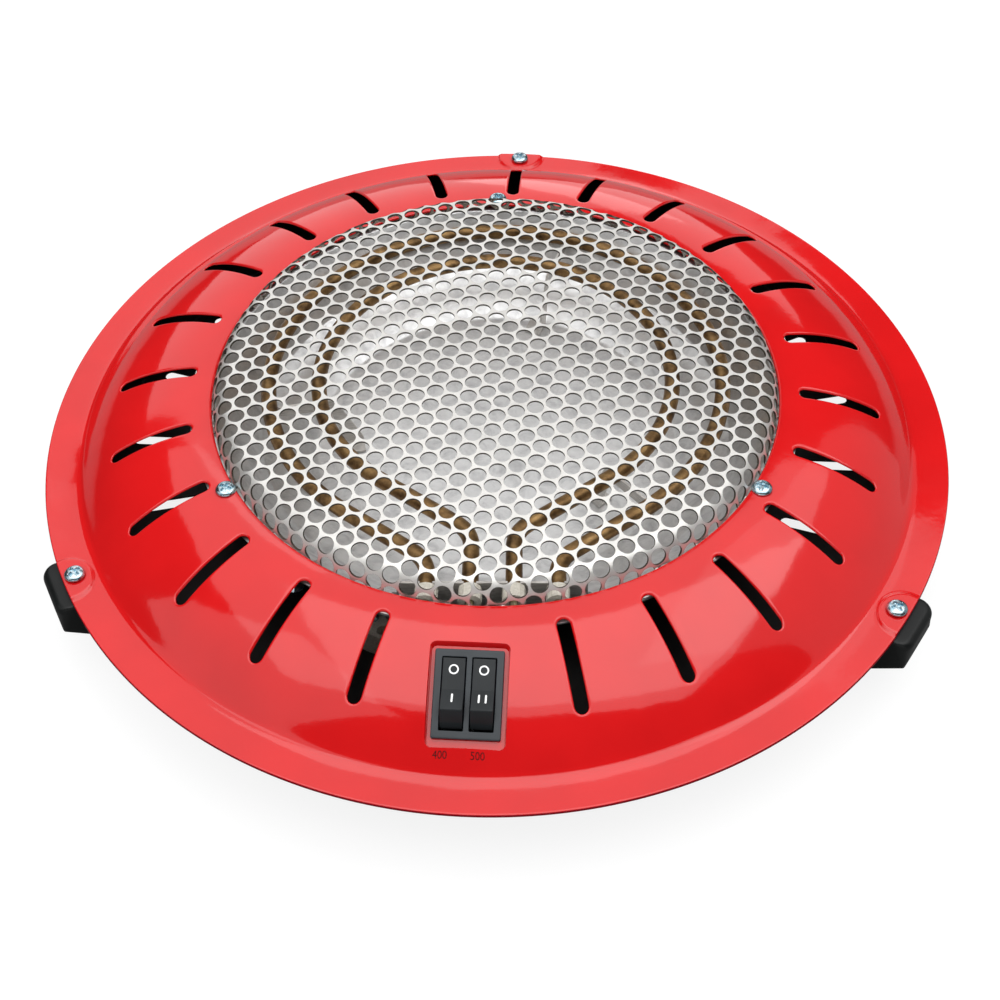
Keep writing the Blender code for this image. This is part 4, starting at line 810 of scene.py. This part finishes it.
def cover_height(plan):
    """Skin height with the pads round the foot screws raised and the switch's pocket sunk to its plane."""
    height = dome_height(np.hypot(plan[:, 0], plan[:, 1]))
    for turn_deg in FOOT_TURN_DEG.values():
        turn = math.radians(turn_deg)
        outwards = plan @ np.array([math.sin(turn), -math.cos(turn)])
        aside = plan @ np.array([math.cos(turn), math.sin(turn)])
        inner = PAD_LENGTH_SHARE * np.minimum(outwards - PAD_MID_R, 0)
        raised = smooth_step((PAD_R - np.hypot(inner, aside)) / PAD_WALL + 0.5)
        height += (outwards > 0) * PAD_RISE * raised
    along = (plan[:, 1] + SWITCH_R) / math.cos(SWITCH_TILT) - POCKET_SHIFT
    floor = SWITCH_Z + (plan[:, 1] + SWITCH_R) * math.tan(SWITCH_TILT) - POCKET_DEPTH / math.cos(SWITCH_TILT)
    inside = smooth_step(0.5 - box_distance(plan[:, 0], along, POCKET_HALF, POCKET_CORNER) / POCKET_WALL)
    return height * (1 - inside) + np.minimum(floor, height) * inside


def pocket_loop(grow):
    """Edge of the switch's pocket in plan, in the sector's frame (across, outwards), grown by a margin:
    four sides with finely stepped round corners, in the order of the sector's outline."""
    corner = max(POCKET_CORNER + grow, 0.0004)
    half_x, half_y = POCKET_HALF + grow
    sunk = np.clip(-(grow + POCKET_LEAN_FROM) / POCKET_LEAN_RUN, 0, 1)
    lean = POCKET_DEPTH * math.sin(SWITCH_TILT) * sunk
    middle = SWITCH_R - POCKET_SHIFT * math.cos(SWITCH_TILT) - lean
    bend = np.linspace(0, math.pi / 4, 5)

    def side(length, steps):
        """Places along one side, from corner middle to corner middle, and how far each lies in from it."""
        start = np.column_stack([corner * (1 - np.cos(math.pi / 4 + bend[:-1])),
                                 corner * (1 - np.sin(math.pi / 4 + bend[:-1]))])
        flat = np.linspace(corner, length - corner, steps - 7)
        end = np.column_stack([length - start[::-1][:, 0], start[::-1][:, 1]])
        return np.concatenate([start, np.column_stack([flat, 0 * flat]), end])[:steps]

    short, long = side(2 * half_x, END_STEPS), side(2 * half_y, SIDE_STEPS)
    loop = np.concatenate([
        np.column_stack([-half_x + short[:, 0], -half_y + short[:, 1]]),
        np.column_stack([half_x - long[:, 1], -half_y + long[:, 0]]),
        np.column_stack([half_x - short[:, 0], half_y - short[:, 1]]),
        np.column_stack([-half_x + long[:, 1], half_y - long[:, 0]])])
    return np.column_stack([loop[:, 0], middle + loop[:, 1] * math.cos(SWITCH_TILT)])


def red_enamel():
    """Baked gloss enamel on steel: deep red, with slow waves of 25 mm from the pressing and an orange peel
    of 2.5 mm in the coat. On the cut edge of the rim it is dull and darkened with painted shade."""
    material, shader = new_material("baked_red_enamel")
    place = add_node(material, "ShaderNodeTexCoord").outputs["Object"]
    tone = add_node(material, "ShaderNodeTexNoise", {"Scale": 1 / 0.030, "Detail": 2.0}, Vector=place)
    colour = add_node(material, "ShaderNodeValToRGB", {"stops": ((0.3, "#C11315"), (0.7, "#CA1517"))},
                      Fac=tone)
    # Painted shade: a dark, dull band on the rim's outer edge, where the turned edge falls in shade.
    edge = add_node(material, "ShaderNodeMapRange", {"From Min": 0.18965, "From Max": 0.18990},
                    Value=plan_radius(material, place))
    rim_edge_shade = add_node(material, "ShaderNodeMix", {"data_type": "RGBA"}, Factor=edge)
    link(material, colour, rim_edge_shade, MIX_FIRST_COLOUR)
    rim_edge_shade.inputs[MIX_SECOND_COLOUR].default_value = hex_rgb("#7A0816")
    shine = add_node(material, "ShaderNodeMapRange", {"To Min": 0.5, "To Max": 0.05}, Value=edge)
    coat = add_node(material, "ShaderNodeMapRange", {"To Min": 0.4, "To Max": 0.0}, Value=edge)
    wave = add_node(material, "ShaderNodeTexNoise", {"Scale": 1 / 0.025, "Detail": 1.0}, Vector=place)
    waves = add_node(material, "ShaderNodeBump", {"Strength": 0.55, "Distance": 0.0005}, Height=wave)
    peel = add_node(material, "ShaderNodeTexNoise", {"Scale": 1 / 0.0025, "Detail": 1.0}, Vector=place)
    bump = add_node(material, "ShaderNodeBump", {"Strength": 0.05, "Distance": 0.0003}, Height=peel,
                    Normal=waves)
    shader.inputs["Roughness"].default_value = 0.10
    shader.inputs["Coat Roughness"].default_value = 0.04
    wire(material, shader, Base_Color=rim_edge_shade.outputs[MIX_COLOUR_OUT], Specular_IOR_Level=shine,
         Coat_Weight=coat, Normal=bump, Coat_Normal=bump)
    return material


pocket = opened_sector([pocket_loop(grow) for grow in POCKET_GROWS],
                       sector_outline(BAND_IN_R, BAND_OUT_R, arc_turns(0)), 5)
band_plan, band_quads, slot_edge = slotted_disc(BAND_IN_R, BAND_OUT_R, set(), EDGE_ROLL, pocket)
to_edge = np.clip(EDGE_ROLL - slot_edge, 0, None)
band_drop = EDGE_ROLL - np.sqrt(np.maximum(EDGE_ROLL ** 2 - to_edge ** 2, 0))
bend = np.linspace(0, math.pi / 2, 7)
opening_radii = np.concatenate([OPENING_R + EDGE_ROLL * (1 - np.sin(bend[::-1])), OPENING_OUTER_R])
opening_drop = np.concatenate([EDGE_ROLL * (1 - np.cos(bend[::-1])), np.zeros(len(OPENING_OUTER_R))])
lip_in_r = COVER_R - LIP_R
rim_radii = np.concatenate([np.linspace(BAND_OUT_R, lip_in_r, RIM_STEPS),
                            lip_in_r + (LIP_R - LIP_DRAFT) * np.sin(bend[1:]), [COVER_R]])
rim_drop = np.concatenate([np.zeros(RIM_STEPS), LIP_R * (1 - np.cos(bend[1:])), [LIP_DEPTH]])
opening_plan, opening_quads, opening_columns = full_rings(opening_radii)
rim_plan, rim_quads, rim_columns = full_rings(rim_radii, fine=True)
plan, quads = joined((band_plan, band_quads), (opening_plan, opening_quads), (rim_plan, rim_quads))
drop = np.concatenate([band_drop, np.repeat(opening_drop, opening_columns), np.repeat(rim_drop, rim_columns)])
cover_points, quads = weld(np.column_stack([plan, cover_height(plan) - drop]), quads)
cover = put_mesh("cover_shell", cover_points, turned_out(cover_points, quads), red_enamel(), SHEET)
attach(cover, "heater")
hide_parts("top_cover")


# Screws. M4 pan heads with a cross recess, in blue-white zinc: three hold the heater unit to the cover and
# three hold the feet. The bracket's screw, the earth's, the block's and the nuts keep their solids.
HEAD_R = 0.0041
HEAD_H = 0.0024  # from the solid's top to its seat
DOME_H = 0.0019
RECESS_ARM = 0.0024
RECESS_HALF = 0.00062
RECESS_DEPTH = 0.0012
RECESS_WALL = 0.0004
DOME_POWER = 3.0
FLAT_SHARE = 0.72
SHANK_R = 0.0020
SCREW_LENGTHS = {"foot_screw": 0.0138, "grille_screw": 0.0098}


def pan_head(length):
    """Screw about Z with its seat at zero. The head is a grid of rings and angles whose height is a low
    dome less a cross: the recess is as deep as its depth inside four arms and slopes up to their edges."""
    turn = math.tau * np.arange(64) / 64
    outer = FLAT_SHARE + (1 - FLAT_SHARE) * np.sin(np.linspace(0, math.pi / 2, 10)[1:])
    share = np.concatenate([np.linspace(0, FLAT_SHARE, 30), outer])
    radius = HEAD_R * share[:, None]
    x, y = radius * np.cos(turn), radius * np.sin(turn)
    dome = DOME_H * np.sqrt(np.maximum(1 - share ** DOME_POWER, 0))[:, None]
    arm = np.minimum(np.maximum(np.abs(x) - RECESS_ARM, np.abs(y) - RECESS_HALF),
                     np.maximum(np.abs(y) - RECESS_ARM, np.abs(x) - RECESS_HALF))
    recess = RECESS_DEPTH * smooth_step(-arm / RECESS_WALL + 0.5)
    head = np.stack([x, y, dome - recess], -1)
    tail_r = np.array([HEAD_R, SHANK_R, SHANK_R, SHANK_R * 0.6, 1e-5])[:, None]
    tail_z = np.array([0, 0, SHANK_R - length, -length, -length])[:, None]
    tail = np.stack([tail_r * np.cos(turn), tail_r * np.sin(turn), tail_z + 0 * turn], -1)
    rings = np.concatenate([head, tail])
    return rings.reshape(-1, 3), loop_faces(len(rings), len(turn))[:, ::-1]


# Blue-passivated zinc is a bright cool metal with slight bluish clouding of 1.5 mm.
zinc = mottled("blue_passivated_zinc", 0.0015, 3.0, ((0.35, "#8DB4C4"), (0.65, "#DCE9EE")), 0.24, 1.0)
rng = np.random.default_rng(7)
for side_name in FOOT_TURN_DEG:
    for kind, length in SCREW_LENGTHS.items():
        node_name = f"{kind}_{side_name}"
        low, high = (np.array(corner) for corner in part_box(node_name))
        seat = np.array([(low[0] + high[0]) / 2, (low[1] + high[1]) / 2, high[2] - HEAD_H])
        turn = rng.uniform(0, math.pi)
        c, s = math.cos(turn), math.sin(turn)
        points, quads = pan_head(length)
        screw = put_mesh(f"{node_name}_head", points @ np.array([[c, s, 0], [-s, c, 0], [0, 0, 1]]) + seat,
                         quads, zinc)
        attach(screw, "heater")
        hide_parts(node_name)
refinish(("grille_nut_right", "grille_nut_back", "grille_nut_left", "bracket_nut", "bracket_screw",
          "earth_screw", "earth_nut", "block_screw"), zinc)


# Switch. A snap-in double rocker switch in dark grey nylon: a flat bezel over a housing, and two near-black
# rockers that turn on trunnions. Their marks are printed in white.
BEZEL_HALF = np.array([0.01255, 0.0162])
BEZEL_THICK = 0.0020
BEZEL_EDGE_R = 0.0004
HOUSING_HALF = np.array([0.0108, 0.0145])
HOUSING_LOW = -0.0180
HOUSING_CORNER_R = 0.0005
WELL_LOW = -0.0160
WELL_TOP = -0.0010
WINDOW_HALF_X, WINDOW_HALF_Y = 0.00445, 0.01335
WINDOW_EDGE_R = 0.0002
WINDOW_CORNER_R = 0.0004
BEZEL_CORNER_R = 0.0007
FACE_INSET, FACE_CORNER_R = 0.0009, 0.0004
ROCKER_X = 0.00545
ROCKER_HALF = 0.0041
ROCKER_EDGE_R = 0.0003
ROCKER_SIDE = [(-0.00640, 0.0043), (0.00146, 0.0006), (0.0129, 0.0006), (0.0128, -0.0078), (0.0072, -0.0095),
               (-0.0080, -0.0061), (-0.0124, -0.0022)]
TILT_COS, TILT_SIN = math.cos(SWITCH_TILT), math.sin(SWITCH_TILT)
INK_THICK = 0.00003
RING_MARK_R, RING_MARK_HOLE_R, RING_MARK_ALONG = 0.00180, 0.00125, 0.0072
BAR_MARK_HALF, BAR_MARK_CORNER, BAR_MARK_ALONG = (0.00033, 0.00178), 0.0003, 0.0037
BAR_MARK_X = {"left": (0.0,), "right": (-0.00125, 0.00125)}


def on_switch(points):
    """Carry points from the switch's frame (across, up the slope, out of its face) to the object's."""
    x, y, z = points[..., 0], points[..., 1], points[..., 2]
    return np.stack([x, y * TILT_COS - z * TILT_SIN - SWITCH_R, y * TILT_SIN + z * TILT_COS + SWITCH_Z], -1)


def round_rectangle(half_x, half_y, corner):
    """Closed loop of a rectangle with round corners, four quarter circles joined by straight sides."""
    quarter = np.linspace(0, math.pi / 2, 7)
    loop = []
    for index, (sx, sy) in enumerate(((1, 1), (-1, 1), (-1, -1), (1, -1))):
        turn = quarter + index * math.pi / 2
        loop.append(np.column_stack([sx * (half_x - corner) + corner * np.cos(turn),
                                     sy * (half_y - corner) + corner * np.sin(turn)]))
    return np.concatenate(loop)


def half_outline(half_x, half_y, corner):
    """Right half of a round rectangle, cut square at the middle line, in step with a window's loop."""
    loop = round_rectangle(half_x / 2, half_y, corner)
    cut = loop[:, 0] < 0
    loop[cut] = np.column_stack([np.full(cut.sum(), -half_x / 2), np.sign(loop[cut, 1]) * half_y])
    return loop + np.array([half_x / 2, 0])


def window_loop(grow):
    """Edge of a rocker's window, grown outwards by a margin."""
    return round_rectangle(WINDOW_HALF_X + grow, WINDOW_HALF_Y + grow, WINDOW_CORNER_R + grow)


def switch_shell():
    """Switch body as loops of its right half, mirrored for the left: the well's floor and wall, the window's
    soft edge, the face, the bezel's soft edge and side, and the housing under it."""
    turn = np.linspace(0, math.pi / 2, 5)
    loops = []
    for height, share in ((WELL_LOW, 0.001), (WELL_LOW, 1.0), (WELL_TOP, 1.0)):
        loops.append((window_loop(0.0) * share, height))
    for height, grow in zip(-WINDOW_EDGE_R * (1 - np.sin(turn)), WINDOW_EDGE_R * (1 - np.cos(turn))):
        loops.append((window_loop(grow), height))
    loops.append((window_loop(2 * WINDOW_EDGE_R), 0.0))
    loops = [(loop + np.array([ROCKER_X, 0]), height) for loop, height in loops]
    loops.append((half_outline(*(BEZEL_HALF - FACE_INSET), FACE_CORNER_R), 0.0))
    for height, inset in zip(-BEZEL_EDGE_R * (1 - np.cos(turn)), BEZEL_EDGE_R * (1 - np.sin(turn))):
        loops.append((half_outline(*(BEZEL_HALF - inset), BEZEL_CORNER_R), height))
    loops.append((half_outline(*BEZEL_HALF, BEZEL_CORNER_R), -BEZEL_THICK))
    housing = half_outline(*HOUSING_HALF, HOUSING_CORNER_R)
    inner = np.array([HOUSING_HALF[0] / 2, 0])
    closed = (housing - inner) * 0.001 + inner
    loops += [(housing, -BEZEL_THICK), (housing, HOUSING_LOW), (closed, HOUSING_LOW)]
    rings = np.stack([np.column_stack([loop, np.full(len(loop), height)]) for loop, height in loops])
    quads = loop_faces(len(rings), rings.shape[1])
    points = rings.reshape(-1, 3)
    quads = quads[np.abs(points[quads][..., 0]).max(1) > 1e-6]
    return weld(*joined((points, quads), (points * np.array([-1, 1, 1]), quads[:, ::-1])))


def rocker_shell(middle_x):
    """One rocker in its pose at rest: its side outline carried across its width with soft edges."""
    outline = closed_fillets(ROCKER_SIDE, [2 * ROCKER_EDGE_R] + [ROCKER_EDGE_R] * 6)
    rings, offsets = swept_side(outline, ROCKER_HALF, ROCKER_EDGE_R)
    across = np.broadcast_to(offsets[:, None] + middle_x, rings.shape[:2])
    points = np.concatenate([across[..., None], rings], -1).reshape(-1, 3)
    return on_switch(points), loop_faces(len(rings), rings.shape[1])


def face_mark(outer, inner, middle, along, tip_sign):
    """Flat ring between two loops, laid just over a rocker's face: a face runs from the valley to a tip,
    and the mark's middle lies along it from the valley."""
    valley, tip = np.array(ROCKER_SIDE[1]), np.array(ROCKER_SIDE[1 + tip_sign])
    run = (tip - valley) / np.linalg.norm(tip - valley)
    up = np.array([-run[1], run[0]]) * tip_sign
    loops = np.stack([inner, outer])
    side = valley + run * (along + tip_sign * loops[..., 1:]) + up * INK_THICK
    points = np.concatenate([loops[..., :1] + middle, side], -1).reshape(-1, 3)
    return on_switch(points), loop_faces(2, len(inner))


switch_nylon = nylon("dark_grey_nylon", "#2B3034", "#34393D", 0.34, 0.35)
rocker_nylon = nylon("near_black_nylon", "#1E2123", "#26292B", 0.30, 0.2)
# White pad-printed ink is matt and a little uneven in cover.
white_ink = mottled("white_marking_ink", 0.0003, 2.0, ((0.3, "#D8DADB"), (0.6, "#FAFAFA")), 0.5)
switch_points, switch_quads = switch_shell()
switch = put_mesh("switch_shell", on_switch(switch_points), switch_quads, switch_nylon)
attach(switch, "heater")
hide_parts("switch_body")
ring_turn = math.tau * np.arange(40) / 40
ring = np.column_stack([np.cos(ring_turn), np.sin(ring_turn)])
bar = round_rectangle(*BAR_MARK_HALF, BAR_MARK_CORNER)
for side_name, side_x in (("left", -ROCKER_X), ("right", ROCKER_X)):
    rocker = put_mesh(f"rocker_shell_{side_name}", *rocker_shell(side_x), rocker_nylon)
    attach(rocker, f"rocker_{side_name}")
    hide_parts(f"rocker_{side_name}")
    marks = [face_mark(ring * RING_MARK_R, ring * RING_MARK_HOLE_R, side_x, RING_MARK_ALONG, 1)]
    marks += [face_mark(bar, bar * 0.02, side_x + bar_x, BAR_MARK_ALONG, -1)
              for bar_x in BAR_MARK_X[side_name]]
    for number, (points, quads) in enumerate(marks):
        mark = put_mesh(f"rocker_mark_{side_name}_{number}", points, turned_out(points, quads), white_ink)
        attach(mark, f"rocker_{side_name}")


# Printed ratings. Plain numbers in thin dark ink, printed on the cover under each rocker and laid over its
# curve. The ink lets some of the red through in patches.
PRINT_SIZE = 0.0042
PRINT_WIDTH_SHARE, PRINT_HEIGHT_SHARE = 0.84, 0.74
PRINT_Y = -0.1706
print_ink = mottled("dark_print_ink", 0.0004, 2.0, ((0.35, "#3A070A"), (0.65, "#5C070B")), 0.3)
for words, left_x in (("400", -0.0115), ("500", 0.0020)):
    curve = bpy.data.curves.new(f"print_{words}", "FONT")
    curve.body = words
    curve.size = PRINT_SIZE
    curve.resolution_u = 6
    written = bpy.data.objects.new(f"print_{words}", curve)
    bpy.context.scene.collection.objects.link(written)
    bpy.context.view_layer.update()
    mesh = bpy.data.meshes.new_from_object(written)
    bpy.data.objects.remove(written)
    flat = np.empty(len(mesh.vertices) * 3)
    mesh.vertices.foreach_get("co", flat)
    flat = flat.reshape(-1, 3)
    plan = flat[:, :2] * np.array([PRINT_WIDTH_SHARE, PRINT_HEIGHT_SHARE]) + np.array([left_x, PRINT_Y])
    mesh.vertices.foreach_set("co", np.column_stack([plan, cover_height(plan) + INK_THICK]).reshape(-1))
    mesh.materials.append(print_ink)
    rating = bpy.data.objects.new(f"rating_{words}", mesh)
    bpy.context.scene.collection.objects.link(rating)
    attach(rating, "heater")


# Cord grommet. A black rubber ring, moulded with a groove and snapped into the hole in the pan's wall. The
# rubber is matt, with a faint bloom in clouds of 2 mm.
refinish(["cord_grommet"], mottled("black_rubber", 0.002, 3.0, ((0.3, "#161616"), (0.7, "#222222")), 0.65))


# Studio. A plain paper floor with the object's soft shadow, a white surround, and large soft lamps. Mirrored
# rays meet a dark surround, because the enamel in the photograph mirrors a room that is dark between lamps.
PAPER_HALF = 6.0
PAPER_Z = -0.0004


def floor_white():
    """Matt grey floor, lifted to white where the camera sees it, so that the enamel mirrors a darker one."""
    material, shader = new_material("studio_paper")
    shader.inputs["Base Color"].default_value = hex_rgb("#767676")
    shader.inputs["Roughness"].default_value = 0.9
    shader.inputs["Specular IOR Level"].default_value = 0.0
    shader.inputs["Emission Color"].default_value = (1, 1, 1, 1)
    path = add_node(material, "ShaderNodeLightPath")
    lift = add_node(material, "ShaderNodeMath", {"operation": "MULTIPLY"})
    link(material, path.outputs["Is Camera Ray"], lift, 0)
    lift.inputs[1].default_value = 0.84
    wire(material, shader, Emission_Strength=lift)
    return material


paper_corners = np.array([[-1, -1], [1, -1], [1, 1], [-1, 1]]) * PAPER_HALF
paper_points = np.column_stack([paper_corners, np.full(4, PAPER_Z)])
floor = put_mesh("studio_floor", paper_points, np.array([[0, 1, 2, 3]]), floor_white())

world = bpy.data.worlds.new("studio")
bpy.context.scene.world = world
world.use_nodes = True
sky = world.node_tree.nodes["Background"]
sky.inputs["Color"].default_value = (1, 1, 1, 1)
sky_path = add_node(world, "ShaderNodeLightPath")
sky_fill = add_node(world, "ShaderNodeMapRange", {"To Min": 0.50, "To Max": 0.02},
                    Value=sky_path.outputs["Is Glossy Ray"])
sky_strength = add_node(world, "ShaderNodeMapRange", {"To Max": 1.0}, Value=sky_path.outputs["Is Camera Ray"],
                        To_Min=sky_fill)
wire(world, sky, Strength=sky_strength)

LAMP_TARGET = np.array([0.0, 0.0, 0.04])


def soft_lamp(name, place, size, watts):
    """Rectangular lamp of a size and power, turned so that its -Z axis points at the object."""
    data = bpy.data.lights.new(name, "AREA")
    data.shape = "RECTANGLE"
    data.size, data.size_y = size
    data.energy = watts
    lamp = bpy.data.objects.new(name, data)
    bpy.context.scene.collection.objects.link(lamp)
    place = np.array(place)
    back = (place - LAMP_TARGET) / np.linalg.norm(place - LAMP_TARGET)
    right = np.cross([0, 1.0, 0], back)
    right /= np.linalg.norm(right)
    stand = np.eye(4)
    stand[:3] = np.column_stack([right, np.cross(back, right), back, place])
    lamp.matrix_world = Matrix(stand.tolist())


for lamp_name, place, size, watts in (
        ("wide_box", (0.0, 0.15, 1.50), (2.6, 2.0), 17.0),
        ("top_box", (0.25, -0.17, 1.52), (2.0, 1.6), 12.0),
        ("back_box", (-0.60, 1.78, 0.87), (1.5, 1.85), 8.4),
        ("low_box", (0.30, 1.85, 0.60), (0.7, 1.2), 2.6),
        ("front_box", (0.0, -1.70, 0.42), (2.4, 0.55), 4.0),
        ("left_box", (-1.15, -0.62, 1.00), (1.5, 1.1), 4.2),
        ("right_box", (1.41, 0.38, 0.88), (2.8, 1.6), 5.6)):
    soft_lamp(lamp_name, place, size, watts)


# Camera. The photograph's viewing angle, solved from the rim, the slots and the screws. Its distance is in
# rim radii, from the middle of the rim's plane.
FOCAL_PX = 1579.36
IMAGE_PX = 1000.0
SENSOR_MM = 36.0
CAMERA_RISE = math.radians(45.772)
CAMERA_ROLL = math.radians(-1.2652)
CAMERA_REACH = 3.5574 * COVER_R
CAMERA_YAW = math.radians(0.088)
CAMERA_PITCH = math.radians(-2.7895)
CAMERA_SIDE = math.radians(4.6521)

stand = CAMERA_REACH * np.array([0, -math.cos(CAMERA_RISE), math.sin(CAMERA_RISE)])
look = -stand / CAMERA_REACH
right = np.array([1.0, 0, 0])
up = np.cross(right, look)
look = (look * math.cos(CAMERA_YAW) * math.cos(CAMERA_PITCH)
        + right * math.sin(CAMERA_YAW) * math.cos(CAMERA_PITCH) + up * math.sin(CAMERA_PITCH))
look /= np.linalg.norm(look)
right = np.cross(look, up)
right /= np.linalg.norm(right)
up = np.cross(right, look)
rolled_right = right * math.cos(CAMERA_ROLL) + up * math.sin(CAMERA_ROLL)
rolled_up = up * math.cos(CAMERA_ROLL) - right * math.sin(CAMERA_ROLL)
swing = np.array([[math.cos(CAMERA_SIDE), -math.sin(CAMERA_SIDE), 0],
                  [math.sin(CAMERA_SIDE), math.cos(CAMERA_SIDE), 0], [0, 0, 1]])
pose = np.eye(4)
pose[:3, :3] = swing @ np.stack([rolled_right, rolled_up, -look], 1)
pose[:3, 3] = swing @ stand + np.array([0, 0, RIM_Z])
camera_data = bpy.data.cameras.new("photo_camera")
camera_data.sensor_width = SENSOR_MM
camera_data.lens = SENSOR_MM * FOCAL_PX / IMAGE_PX
camera_data.clip_start = 0.01
camera = bpy.data.objects.new("photo_camera", camera_data)
bpy.context.scene.collection.objects.link(camera)
camera.matrix_world = Matrix(pose.tolist())
bpy.context.scene.camera = camera
bpy.context.scene.view_settings.view_transform = "Standard"
